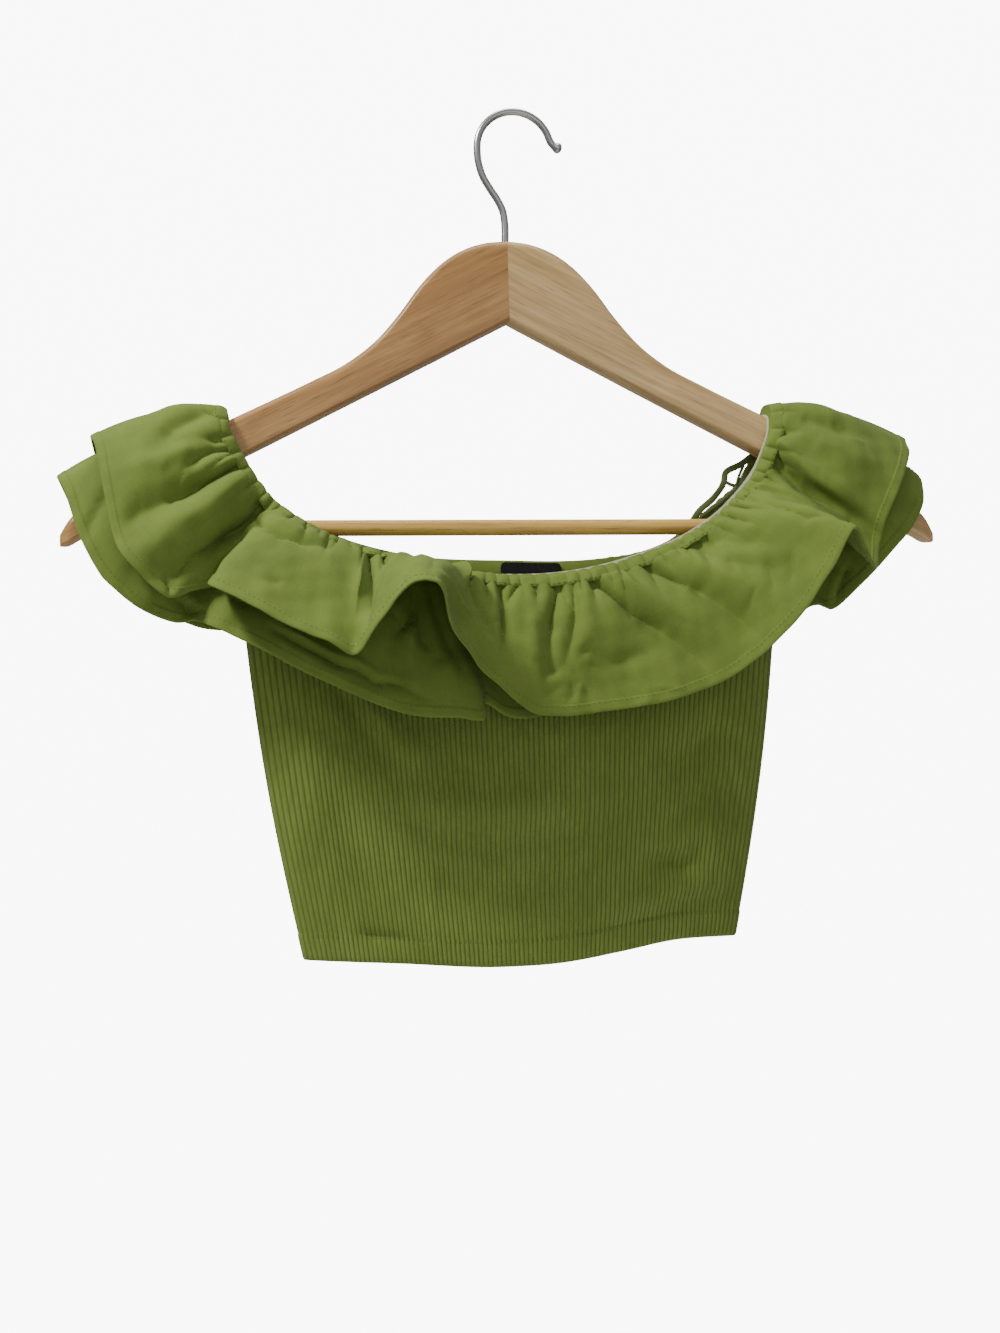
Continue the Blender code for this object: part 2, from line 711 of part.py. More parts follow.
def main():
    for old in list(bpy.data.objects):
        bpy.data.objects.remove(old, do_unlink=True)

    cotton = principled("ruffle_cotton", (0.19, 0.24, 0.065), 0.85)
    rib = principled("rib_knit", (0.10, 0.125, 0.035), 0.9)
    cream = principled("cream_elastic", (0.72, 0.68, 0.5), 0.8)
    black = principled("black_label", (0.012, 0.012, 0.014), 0.6)
    wood = principled("varnished_wood", (0.42, 0.27, 0.11), 0.4)
    steel = principled("hook_steel", (0.33, 0.33, 0.31), 0.3, metallic=1.0)

    lower_offset = BODY_WALL / 2 + LAYER_GAP + RUFFLE_WALL / 2
    upper_offset = lower_offset + RUFFLE_WALL + LAYER_GAP
    elastic_offset = -(BODY_WALL / 2 + LAYER_GAP + ELASTIC_WALL / 2)
    inside = elastic_offset - ELASTIC_WALL / 2 - LAYER_GAP

    upper_halves = (Tier(-1, UPPER_FRONT, upper_offset), Tier(1, UPPER_BACK, upper_offset))
    lower_halves = (Tier(-1, LOWER_FRONT, lower_offset), Tier(1, LOWER_BACK, lower_offset))
    plain = (0.0,) * len(LOWER_DOWNS)
    for place, upper, lower in zip(("front", "back"), upper_halves, lower_halves):
        ruffle("ruffle_upper_" + place, upper, UPPER_COLUMNS, UPPER_CROWDING, UPPER_DOWNS,
               UPPER_GATHERS, cotton)
        ruffle("ruffle_lower_" + place, lower, LOWER_COLUMNS, LOWER_CROWDING, LOWER_DOWNS,
               plain, cotton)
    body("body_front", BodyPanel(-1), rib)
    body("body_back", BodyPanel(1), rib)
    casing("neck_casing", upper_halves, cotton)
    elastic("neck_elastic", elastic_offset, cream)
    label("neck_label", inside - LABEL_WALL / 2, black)
    tape("hang_tape", inside - TAPE_WALL / 2, cotton)
    arm("hanger_left", -1, LEFT_REACH, wood)
    arm("hanger_right", 1, RIGHT_REACH, wood)
    bar("hanger_bar", wood)
    hook("hook", steel)


main()
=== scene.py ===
"""Off-shoulder top with a two-tier ruffle on a wooden hanger: cloth detail, materials and light.

Tables are in millimetres and repeat those of the solids, with x from the hanger's centre plane.
"""

import bpy
import numpy as np
from mathutils import Matrix, Vector


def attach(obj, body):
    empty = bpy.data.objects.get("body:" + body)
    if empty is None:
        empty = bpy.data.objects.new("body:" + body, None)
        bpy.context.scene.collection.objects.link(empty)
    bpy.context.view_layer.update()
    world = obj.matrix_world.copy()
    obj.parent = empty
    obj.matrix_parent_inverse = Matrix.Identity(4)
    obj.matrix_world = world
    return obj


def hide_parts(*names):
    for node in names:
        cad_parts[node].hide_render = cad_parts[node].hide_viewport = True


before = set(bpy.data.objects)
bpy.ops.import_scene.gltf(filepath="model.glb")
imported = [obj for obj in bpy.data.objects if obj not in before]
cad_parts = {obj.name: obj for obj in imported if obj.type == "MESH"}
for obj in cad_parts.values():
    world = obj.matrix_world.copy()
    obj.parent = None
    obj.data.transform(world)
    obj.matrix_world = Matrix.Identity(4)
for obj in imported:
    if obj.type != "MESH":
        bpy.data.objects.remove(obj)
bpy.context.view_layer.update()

MM = 0.001
CENTRE_X = -6.0
SHARP_ANGLE = np.radians(48)

# Camera of the photograph
CAMERA_PLACE = (-0.1629, -0.9352, -0.3603)
CAMERA_AZIMUTH = np.radians(-9.0)
CAMERA_ELEVATION = np.radians(-4.63)
CAMERA_ROLL = np.radians(1.6)
CAMERA_LENS = 36 * 1900 / 1333
CAMERA_SENSOR = 36

# Brightness of the surroundings on the cloth from below and above, and as the camera sees them
LIGHT_BELOW = 0.2
LIGHT_ABOVE = 0.42
BACKDROP_LIGHT = 9.0

# Pale floor below the photograph's frame
FLOOR_RADIUS = 0.72
FLOOR_LEVEL = -0.80
FLOOR_SIDES = 96

# Soft square lights, which all face one point: name, place, size, power and colour
LAMP_TARGET = (0.0, 0.0, -0.28)
LAMPS = (
    ("key", (-0.9, -0.42, 0.78), 0.22, 20.0, (1.0, 0.99, 0.96)),
    ("fill", (0.1, -1.2, -0.2), 1.0, 2.4, (0.97, 0.98, 1.0)),
    ("top", (0.0, 0.0, 0.9), 0.5, 4.0, (1.0, 1.0, 1.0)),
)

# Walls of the cloth and where each layer lies from the neckline seam
SEAM_GAP = 0.06
RUFFLE_WALL = 0.8
BODY_WALL = 1.4
ELASTIC_WALL = 0.9
LABEL_WALL = 0.7
TAPE_WALL = 0.8
LOWER_OFFSET = 1.55
UPPER_OFFSET = 2.85
ELASTIC_OFFSET = -1.5
INSIDE_OFFSET = -2.25

# Neckline band
SEAM_TURN = 0.045
NECK_STEP = 0.004
LOOP_OVERLAP = 3
STEEP_SHARE = 0.08
NECK_SAMPLES = 600
ELASTIC_WIDTH = 5.5
ELASTIC_STANDS = 1.0
ELASTIC_COLUMNS = 700
FACING_COLUMNS = 400
LOOP_CROWDING = 0.5
CASING_DEPTH = 6.0
CASING_COLUMNS = 760
CASING_SEAM_ROW = 7
TIER_REACH = 80.0

# Ruffle tiers
NECK_HANDLE = 0.38
HEM_HANDLE = 0.3
HEM_DROOP = 0.35
HEM_BAND = 6.0
CREASE_DEPTH = 1.2
BAND_EXTRA = 0.35
GATHER_PITCH = (4.6, 9.5)
UPPER_SIZE = (500, 80)
LOWER_SIZE = (300, 62)
COLUMN_CROWDING = 0.35

# Ribbed body
RIBS = 98
RIB_SAMPLES = 6
RIB_HEIGHT = 0.42
BODY_ROWS = 54
HEM_LEFT = -108.5
HEM_RIGHT = 106.5
HEM_DEPTH = 15.0
HEM_SQUARENESS = 3
SIDE_LEFT = -135.5
SIDE_RIGHT = 134.0
SIDE_TOP = -254.0
SIDE_BULGE = 3.0
ARMHOLE_LEFT = -112.0
ARMHOLE_RIGHT = 106.0
ARMHOLE_SCOOP = 1.5
BODY_HEM_BAND = 13.5
DRAPE_DEPTH = 1.5

# Label, tape and the cloth's sheen
LABEL_LEFT = -5.0
LABEL_RIGHT = 26.0
LABEL_HEIGHT = 13.0
LABEL_CORNER = 2.2
SHEEN = 0.04
TAPE_SIDES = 12
TAPE_STATIONS = 81

# Each thread of a seam: places along it, then its height and thickness there
THREAD_SIDES = 4
THREAD_PLACES = np.array((0.0, 0.18, 0.5, 0.82, 1.0))
THREAD_LIFTS = (-0.16, 0.06, 0.14, 0.06, -0.16)
THREAD_THICKNESS = (0.5, 0.9, 1.0, 0.9, 0.5)

# Hanger and hook
LEFT_REACH = 222.5
RIGHT_REACH = 217.5
TABLE_REACH = 220.0
HALF_GAP = 0.02
ARM_SWEEP = 8.0
UNDERSIDE_TOP = -108.5
UNDERSIDE_SLOPE = 0.525
BAR_RADIUS = 4.0
BAR_Y = -6.5
BAR_Z = -214.5
BAR_SIDES = 48
BAR_STATIONS = 61
HOOK_BEND = 19.1
HOOK_WIRE = 1.9
HOOK_ARC_END = np.radians(16)
HOOK_SIDES = 28
HOOK_STATIONS = 420

# Neckline seam, front half from the left shoulder to the right one: x, y, z
NECK_FRONT = (
    (-142, -3, -158.3), (-142.5, -9, -160.4), (-141.5, -12.8, -167), (-137, -13.2, -177),
    (-130, -13.5, -190), (-119, -14, -204), (-103, -14.5, -215.6), (-79, -15, -226), (-45, -16, -235.4),
    (0, -16.5, -241.3), (30, -16.5, -239), (60, -15.8, -231.5), (87, -15, -220.4), (108, -14.2, -205.5),
    (121, -13.6, -190), (128, -13.2, -176), (131.5, -12.8, -166), (132.5, -9, -157), (132, -3, -154.9),
)

# Neckline seam, back half from the left shoulder to the right one: x, y, z
NECK_BACK = (
    (-142, -3, -158.3), (-142.5, 3, -160.4), (-141, 6.5, -168), (-133, 8, -183), (-118, 10, -200),
    (-95, 12, -214), (-60, 14, -225), (0, 15, -229.5), (45, 14.2, -229), (70, 13.4, -225),
    (90, 12.6, -216), (108, 11.6, -201), (121, 10.2, -189.5), (128, 8.5, -177), (131.5, 6.5, -166),
    (132.5, 3, -157), (132, -3, -154.9),
)

# Hem of the upper tier in front: share of the seam in thousandths, x, y, z and the bow in degrees
UPPER_FRONT = (
    (0, -208, -5, -169, 20), (36, -204, -20, -181, 20), (53, -200, -30, -203, 20),
    (72, -195, -38, -226, 20), (97, -184, -42, -241, 18), (121, -170, -40, -252, 15),
    (143, -160, -31, -248, 10), (160, -147, -27, -245, 8), (177, -153, -50, -247, 15),
    (197, -138, -58, -256, 18), (228, -118, -62, -267, 20), (262, -100, -64, -275, 20),
    (298, -85, -62, -282, 18), (318, -77, -70, -272, 16), (340, -68, -78, -258, 15),
    (382, -53, -84, -251, 14), (407, -46, -80, -257, 14), (424, -39, -66, -274, 14),
    (440, -31, -56, -283, 14), (460, -19, -48, -295, 16), (486, -4, -42, -307, 18),
    (528, 14, -38, -311, 18), (577, 36, -36, -309, 18), (664, 78, -38, -302, 18),
    (710, 102, -44, -291, 18), (750, 118, -52, -278, 18), (785, 131, -60, -264, 16),
    (812, 143, -68, -244, 14), (836, 153, -74, -226, 14), (856, 162, -64, -233, 10),
    (876, 173, -46, -242, 10), (898, 180, -34, -228, 12), (923, 183, -36, -216, 16),
    (945, 194, -30, -197, 18), (965, 203, -18, -182, 20), (1000, 207, -5, -169, 20),
)

# Hem of the upper tier behind, same columns
UPPER_BACK = (
    (0, -208, -5, -169, 20), (40, -205, 10, -182, 20), (80, -196, 26, -214, 20),
    (120, -180, 32, -240, 18), (155, -163, 26, -251, 14), (185, -150, 24, -250, 10),
    (215, -146, 44, -256, 14), (265, -126, 54, -268, 18), (325, -98, 56, -281, 18),
    (365, -76, 64, -276, 16), (400, -63, 74, -260, 14), (430, -51, 68, -268, 14),
    (460, -37, 48, -288, 16), (510, -8, 38, -302, 18), (570, 26, 38, -303, 18), (620, 50, 48, -294, 18),
    (655, 65, 64, -272, 15), (685, 78, 66, -270, 15), (715, 92, 50, -284, 16), (770, 116, 44, -277, 18),
    (810, 136, 48, -262, 18), (850, 152, 42, -250, 16), (885, 166, 28, -244, 14),
    (920, 184, 24, -226, 16), (960, 202, 10, -188, 20), (1000, 207, -5, -169, 20),
)

# Hem of the lower tier in front, same columns
LOWER_FRONT = (
    (0, -224, -5, -189, 8), (36, -219, -18, -200, 8), (53, -213, -25, -219, 8),
    (72, -205, -29, -236, 8), (97, -197, -30, -246, 8), (121, -183, -28, -257, 6),
    (140, -169, -21, -262, 4), (162, -160, -24, -261, 4), (185, -153, -33, -264, 6),
    (228, -136, -39, -273, 8), (262, -109, -43, -288, 8), (305, -78, -46, -303, 8),
    (357, -51, -48, -311, 8), (382, -37, -46, -311, 8), (407, -23, -42, -312, 6),
    (426, -21, -32, -304, 5), (451, -11, -28, -310, 6), (528, 21, -28, -307, 7),
    (621, 61, -28, -303, 7), (664, 81, -30, -298, 7), (710, 103, -34, -287, 7),
    (750, 120, -38, -276, 7), (785, 138, -40, -261, 6), (812, 147, -35, -258, 5),
    (836, 158, -26, -259, 4), (856, 173, -23, -247, 4), (898, 191, -28, -228, 6),
    (923, 200, -28, -218, 8), (945, 208, -22, -206, 8), (965, 212, -12, -193, 8),
    (1000, 209, -5, -185, 8),
)

# Hem of the lower tier behind, same columns
LOWER_BACK = (
    (0, -224, -5, -189, 8), (40, -219, 8, -200, 8), (80, -210, 18, -221, 8), (120, -194, 22, -240, 8),
    (160, -176, 18, -252, 6), (200, -158, 20, -260, 5), (260, -134, 30, -262, 8),
    (330, -104, 34, -278, 8), (400, -66, 38, -294, 8), (460, -36, 31, -303, 8), (520, -2, 26, -306, 8),
    (600, 40, 28, -304, 8), (670, 72, 36, -298, 8), (740, 104, 31, -288, 8), (800, 134, 30, -272, 8),
    (860, 160, 22, -252, 6), (910, 184, 19, -240, 6), (950, 204, 12, -214, 8), (1000, 209, -5, -185, 8),
)

# Hem edge of the body: x, z
BODY_HEM = (
    (-108.5, -425), (-64, -427.8), (-16, -431.3), (18, -430.2), (43, -426.5), (74, -421.5),
    (106.5, -421),
)

# Strands of the hanging tape behind the right neckline: width, then x, z
TAPE_STRANDS = (
    (3.4, ((127.5, -175.5), (122, -179.5), (113.5, -184.5), (112.6, -188.5),
           (107, -197), (99, -204), (94, -211))),
    (2.4, ((128, -180), (124.5, -186), (119.5, -191.5), (113, -197.5), (106, -202.5), (99.5, -207))),
    (2.0, ((112.8, -188.5), (117, -190.5), (120.5, -191))),
    (1.6, ((123, -180.5), (121, -185), (119, -190.5))),
)

# One arm of the hanger: x, top, underside, thickness
ARM = (
    (0, -67, -108.5, 14), (12, -68.5, -114.8, 14), (24, -73, -121.1, 14), (34, -80, -126.4, 14),
    (44, -90.5, -131.6, 14), (55, -105.5, -137.4, 14), (66, -118.5, -143.2, 14), (80, -130, -150.5, 14),
    (100, -141, -161, 14), (120, -151, -171.5, 14), (145, -163.5, -184.6, 14),
    (175, -180.5, -200.4, 14), (200, -197, -213.5, 14), (211, -205.5, -219.4, 13.5),
    (217, -212.5, -222.8, 11), (220, -217.5, -223.2, 5.5),
)

# Hook's stem below its bend: x, z
HOOK_STEM = (
    (0, -66.6), (0, -56), (-0.8, -50.5), (-3.2, -45), (-7, -39), (-10.6, -32.5), (-12.6, -25.5),
)

# Hook's turned-out tip with its ball: x, z, radius
HOOK_TIP = (
    (25.2, -13.8, 1.9), (26.4, -15.2, 1.9), (27.5, -16, 2.3), (28.7, -16.6, 2.8), (29.9, -17.1, 2.3),
    (30.7, -17.4, 1.1),
)

# Creases, listed one by one. Each has its depth in mm, which is below 0 for a trough, its width at
# both ends in mm, how sharp it is from 0 to 1, and its path as pairs of share and down, in
# thousandths.
UPPER_FRONT_CREASES = (
    (-4.6, 2.4, 3.2, 0.8, ((90, 50), (91, 200), (88, 340), (84, 460), (78, 540))),
    (-4.6, 5.0, 9.0, 0.3, ((84, 280), (77, 530), (69, 740), (70, 950))),
    (2.6, 5.0, 8.0, 0.2, ((108, 100), (106, 380), (97, 620), (92, 900))),
    (-2.2, 2.0, 3.5, 0.6, ((70, 50), (61, 180), (62, 320), (65, 440))),
    (1.6, 3.0, 5.0, 0.2, ((80, 80), (77, 220), (75, 360))),
    (-1.8, 1.6, 2.4, 0.6, ((56, 30), (53, 130), (48, 210))),
    (-2.6, 4.0, 6.0, 0.1, ((26, 140), (34, 300), (41, 440), (44, 540))),
    (1.8, 4.0, 8.0, 0.1, ((52, 300), (52, 550), (46, 850))),
    (-5.6, 2.8, 3.8, 0.8, ((147, 50), (152, 200), (150, 360), (145, 500), (138, 620))),
    (-4.4, 5.0, 8.0, 0.4, ((149, 350), (138, 600), (126, 740), (113, 860), (103, 990))),
    (2.6, 3.5, 5.0, 0.3, ((160, 140), (160, 360), (154, 560), (150, 750))),
    (-1.8, 3.0, 5.0, 0.4, ((125, 660), (108, 800), (98, 930))),
    (-1.8, 1.8, 2.2, 0.5, ((113, 900), (119, 940), (120, 990))),
    (-2.2, 2.0, 3.5, 0.5, ((163, 280), (194, 320), (222, 280), (248, 180))),
    (1.6, 3.0, 4.0, 0.2, ((180, 180), (205, 200), (232, 120))),
    (-1.2, 8.0, 10.0, 0.0, ((205, 580), (240, 740), (275, 600))),
    (-5.6, 3.0, 4.0, 0.9, ((300, 50), (306, 360), (308, 620), (311, 840))),
    (2.8, 4.0, 5.0, 0.3, ((288, 100), (293, 400), (296, 750))),
    (-1.8, 1.6, 2.4, 0.6, ((322, 60), (318, 280), (316, 520))),
    (2.8, 3.0, 4.5, 0.3, ((345, 280), (331, 680), (320, 880))),
    (-1.8, 1.8, 2.6, 0.6, ((362, 50), (358, 200), (360, 360))),
    (4.6, 3.4, 4.0, 0.6, ((420, 20), (419, 180), (420, 460))),
    (-3.6, 3.0, 4.5, 0.6, ((432, 40), (436, 280), (448, 440), (462, 600))),
    (2.2, 3.0, 3.5, 0.3, ((402, 780), (428, 630), (452, 720), (468, 880))),
    (-2.4, 1.8, 3.0, 0.6, ((457, 50), (459, 180), (455, 340))),
    (-4.2, 2.2, 3.6, 0.7, ((480, 50), (477, 250), (475, 450), (470, 720))),
    (-2.4, 1.6, 2.4, 0.7, ((500, 80), (488, 180), (479, 290))),
    (-1.8, 1.6, 2.6, 0.6, ((517, 40), (525, 120), (521, 240))),
    (1.8, 4.0, 6.0, 0.1, ((512, 300), (506, 550), (500, 850))),
    (-4.2, 2.2, 3.6, 0.7, ((549, 30), (552, 120), (540, 270), (529, 460), (526, 660))),
    (-2.2, 1.5, 2.2, 0.7, ((557, 30), (559, 150), (562, 250))),
    (-2.6, 2.0, 3.6, 0.5, ((575, 80), (567, 300), (557, 460), (541, 640))),
    (1.5, 3.5, 5.0, 0.1, ((583, 140), (580, 360), (570, 600))),
    (-2.2, 1.6, 2.4, 0.6, ((598, 40), (601, 170))),
    (-1.4, 3.5, 5.0, 0.2, ((575, 550), (597, 670), (628, 640), (648, 620))),
    (-1.1, 2.5, 4.0, 0.2, ((573, 540), (556, 610))),
    (-1.0, 3.0, 5.0, 0.1, ((500, 620), (520, 660), (545, 600))),
    (-5.0, 2.4, 3.6, 0.8, ((602, 80), (615, 170), (626, 260), (636, 350), (660, 500))),
    (-4.4, 5.0, 9.0, 0.4, ((640, 380), (667, 600), (680, 760), (693, 990))),
    (3.0, 5.0, 8.0, 0.2, ((636, 100), (662, 300), (690, 520), (707, 780))),
    (-4.6, 2.4, 3.8, 0.7, ((672, 60), (687, 150), (703, 270), (717, 380))),
    (-3.8, 5.0, 8.0, 0.4, ((712, 320), (725, 520), (736, 780), (744, 900))),
    (2.6, 5.0, 9.0, 0.1, ((722, 120), (745, 340), (764, 600), (776, 840))),
    (-1.8, 1.8, 2.8, 0.6, ((646, 40), (653, 140), (664, 260))),
    (-2.8, 4.5, 7.0, 0.2, ((740, 50), (778, 180), (799, 400), (806, 620))),
    (-2.0, 4.0, 6.0, 0.2, ((747, 80), (758, 320), (783, 520), (803, 780))),
    (-1.3, 2.5, 3.0, 0.4, ((792, 530), (782, 650), (774, 740))),
    (-1.3, 2.5, 3.0, 0.4, ((803, 660), (788, 800))),
    (-7.0, 3.0, 6.0, 0.8, ((921, 50), (904, 160), (896, 300), (895, 500), (896, 700))),
    (3.6, 3.0, 5.0, 0.3, ((936, 100), (922, 240), (914, 400), (914, 600), (918, 860))),
    (1.6, 2.5, 3.5, 0.2, ((873, 60), (880, 220), (882, 420))),
    (-1.5, 2.0, 3.0, 0.4, ((862, 50), (868, 200), (866, 360))),
    (-2.2, 2.0, 3.0, 0.5, ((845, 80), (836, 320), (829, 640), (842, 860))),
    (-2.2, 1.8, 2.6, 0.6, ((940, 30), (948, 80), (950, 160))),
    (-2.0, 4.0, 6.0, 0.1, ((967, 180), (961, 380), (962, 620))),
    (1.4, 5.0, 8.0, 0.1, ((948, 300), (944, 550), (946, 850))),
)

LOWER_FRONT_CREASES = (
    (-1.8, 2.5, 4.0, 0.5, ((47, 720), (52, 860), (58, 970))),
    (-2.4, 1.5, 1.8, 0.8, ((240, 820), (270, 830), (281, 850), (295, 820),
                           (308, 860), (323, 820), (339, 830), (358, 880))),
    (1.4, 2.2, 2.8, 0.4, ((246, 770), (275, 790), (297, 760), (310, 800), (336, 760))),
    (0.9, 3.0, 3.5, 0.2, ((250, 890), (282, 920), (310, 930), (340, 900), (360, 950))),
    (-3.6, 2.0, 3.0, 0.8, ((365, 180), (361, 280), (356, 370), (338, 470), (328, 600))),
    (-3.2, 2.2, 4.0, 0.7, ((367, 220), (366, 450), (372, 600))),
    (2.2, 2.2, 3.4, 0.3, ((362, 300), (352, 520), (346, 760))),
    (-2.2, 3.0, 5.0, 0.6, ((388, 180), (392, 450), (400, 800))),
    (-1.6, 3.5, 5.0, 0.3, ((170, 740), (203, 720), (233, 700))),
    (-2.6, 2.5, 3.5, 0.6, ((136, 840), (150, 920), (168, 960))),
    (1.6, 2.5, 3.0, 0.4, ((142, 800), (158, 870), (178, 900))),
    (1.4, 3.0, 5.0, 0.4, ((126, 550), (122, 800), (118, 990))),
    (-1.2, 3.0, 6.0, 0.3, ((205, 600), (214, 800), (222, 990))),
    (-1.8, 3.0, 5.0, 0.6, ((826, 550), (828, 780), (830, 990))),
    (-2.4, 1.6, 2.2, 0.7, ((858, 840), (848, 900), (838, 970))),
    (1.8, 2.0, 2.4, 0.4, ((850, 800), (841, 880), (832, 950))),
    (-1.5, 3.0, 6.0, 0.4, ((872, 600), (876, 800), (884, 990))),
    (-1.3, 3.0, 6.0, 0.3, ((930, 600), (934, 800), (936, 990))),
)

UPPER_BACK_CREASES = (
    (-3.0, 4.0, 8.0, 0.5, ((92, 80), (90, 360), (80, 620), (74, 960))),
    (-3.4, 4.0, 8.0, 0.6, ((172, 80), (178, 360), (176, 660), (170, 970))),
    (1.6, 4.0, 7.0, 0.2, ((130, 70), (128, 400), (118, 920))),
    (-1.5, 3.0, 7.0, 0.3, ((226, 60), (236, 300), (246, 580))),
    (-1.8, 3.0, 7.0, 0.4, ((282, 60), (292, 280), (300, 660))),
    (-2.2, 3.0, 6.0, 0.5, ((350, 70), (346, 360), (342, 780), (340, 980))),
    (-1.4, 3.0, 6.0, 0.3, ((392, 50), (396, 260), (402, 480))),
    (-2.6, 3.0, 6.0, 0.6, ((442, 70), (446, 380), (452, 720), (462, 970))),
    (-1.6, 3.0, 7.0, 0.3, ((492, 50), (486, 300), (490, 620))),
    (-2.6, 3.5, 8.0, 0.4, ((545, 60), (536, 300), (520, 660), (512, 960))),
    (-1.5, 3.0, 6.0, 0.4, ((586, 60), (592, 260), (600, 520))),
    (-2.4, 3.0, 6.0, 0.5, ((632, 70), (628, 380), (622, 740), (616, 970))),
    (-1.5, 3.0, 6.0, 0.3, ((668, 50), (670, 280), (670, 550))),
    (-2.8, 3.0, 7.0, 0.5, ((718, 70), (722, 340), (730, 700), (744, 970))),
    (-1.5, 3.0, 7.0, 0.3, ((772, 60), (780, 280), (786, 600))),
    (-2.2, 3.0, 7.0, 0.4, ((828, 60), (824, 340), (828, 700), (836, 960))),
    (-3.0, 3.0, 7.0, 0.6, ((884, 70), (880, 300), (886, 600), (892, 970))),
    (-1.8, 3.0, 6.0, 0.4, ((934, 50), (930, 300), (936, 640))),
    (-1.6, 3.0, 6.0, 0.4, ((50, 60), (50, 340), (46, 660))),
    (1.0, 6.0, 9.0, 0.1, ((500, 600), (560, 540), (600, 620))),
)

LOWER_BACK_CREASES = (
    (-1.8, 3.0, 5.0, 0.5, ((150, 500), (154, 800), (160, 990))),
    (-1.5, 3.0, 6.0, 0.4, ((236, 500), (240, 760), (236, 990))),
    (-1.8, 3.0, 6.0, 0.5, ((372, 450), (366, 740), (360, 990))),
    (-1.4, 3.0, 6.0, 0.3, ((470, 500), (478, 800), (490, 990))),
    (-1.6, 3.0, 6.0, 0.4, ((570, 450), (566, 740), (556, 990))),
    (-1.8, 3.0, 6.0, 0.5, ((700, 500), (706, 760), (716, 990))),
    (-1.6, 3.0, 6.0, 0.5, ((842, 500), (850, 780), (852, 990))),
    (-1.2, 2.0, 3.0, 0.6, ((250, 860), (290, 800), (330, 880), (370, 820))),
)

BODY_FRONT_CREASES = (
    (-2.0, 7.0, 10.0, 0.2, ((150, 360), (205, 460), (263, 540))),
    (1.5, 8.0, 10.0, 0.1, ((200, 380), (250, 460), (320, 500))),
    (-2.4, 7.0, 9.0, 0.2, ((263, 650), (307, 685), (393, 695), (550, 670), (667, 680))),
    (2.0, 10.0, 12.0, 0.1, ((300, 590), (400, 610), (540, 590), (660, 610))),
    (-3.2, 14.0, 16.0, 0.0, ((300, 800), (480, 810), (660, 800))),
    (-1.6, 4.0, 6.0, 0.4, ((765, 790), (818, 800), (860, 835), (927, 835))),
    (1.2, 4.0, 6.0, 0.3, ((780, 760), (835, 765), (880, 790))),
    (-1.2, 5.0, 7.0, 0.2, ((885, 795), (818, 810), (750, 835))),
    (-1.6, 6.0, 9.0, 0.1, ((955, 900), (772, 930), (630, 955))),
    (1.2, 7.0, 9.0, 0.1, ((930, 870), (770, 880), (640, 900))),
    (-1.3, 3.0, 4.0, 0.4, ((135, 935), (203, 940), (260, 950))),
    (-1.2, 7.0, 12.0, 0.1, ((940, 485), (845, 560), (740, 500))),
    (-0.9, 7.0, 10.0, 0.2, ((950, 620), (880, 680), (780, 720))),
    (1.0, 10.0, 14.0, 0.0, ((90, 300), (80, 600), (100, 850))),
    (-0.9, 8.0, 12.0, 0.0, ((130, 600), (150, 800), (140, 920))),
)

BODY_BACK_CREASES = (
    (-1.0, 9.0, 14.0, 0.1, ((260, 560), (420, 640), (600, 600))),
    (0.8, 10.0, 14.0, 0.1, ((320, 460), (480, 520), (640, 480))),
    (-0.9, 8.0, 12.0, 0.1, ((500, 760), (640, 800), (780, 740))),
    (-0.8, 7.0, 12.0, 0.2, ((965, 360), (860, 460), (740, 600))),
    (-0.8, 7.0, 12.0, 0.2, ((35, 400), (150, 500), (270, 600))),
    (-0.6, 7.0, 10.0, 0.2, ((40, 680), (130, 760), (240, 820))),
)

# Flat cut of each cloth piece: width and greatest length in metres, then its area
UPPER_FRONT_CUT = (0.70, 0.082, 0.052)
UPPER_BACK_CUT = (0.65, 0.080, 0.048)
LOWER_FRONT_CUT = (0.59, 0.092, 0.046)
LOWER_BACK_CUT = (0.56, 0.092, 0.046)
BODY_CUT = (0.255, 0.200)
CASING_CUT = (0.76, 0.010)
ELASTIC_CUT = (0.78, 0.006)
LABEL_CUT = (0.031, 0.013)


def unit(vectors):
    """Scale each vector to length one."""
    lengths = np.linalg.norm(vectors, axis=-1, keepdims=True)
    return vectors / np.maximum(lengths, 1e-9)


def smooth(value, low, high):
    """Rise smoothly from 0 at low to 1 at high."""
    t = np.clip((value - low) / (high - low), 0.0, 1.0)
    return t * t * (3 - 2 * t)


def travelled(points):
    """Distance from the first point to each one, along them all."""
    return np.concatenate(([0.0], np.cumsum(np.linalg.norm(np.diff(points, axis=0), axis=1))))


def circle(sides):
    """Angles evenly round a circle."""
    return np.linspace(0.0, 2 * np.pi, sides, endpoint=False)


def off_ends(shares, width):
    """0 at both ends of a seam and 1 away from them."""
    return smooth(np.minimum(shares, 1 - shares), 0.0, width)


def spread(columns, crowding):
    """Shares along a seam, crowded towards both shoulders."""
    even = np.linspace(0.0, 1.0, columns + 1)
    return even + crowding * ((1 - np.cos(np.pi * even)) / 2 - even)


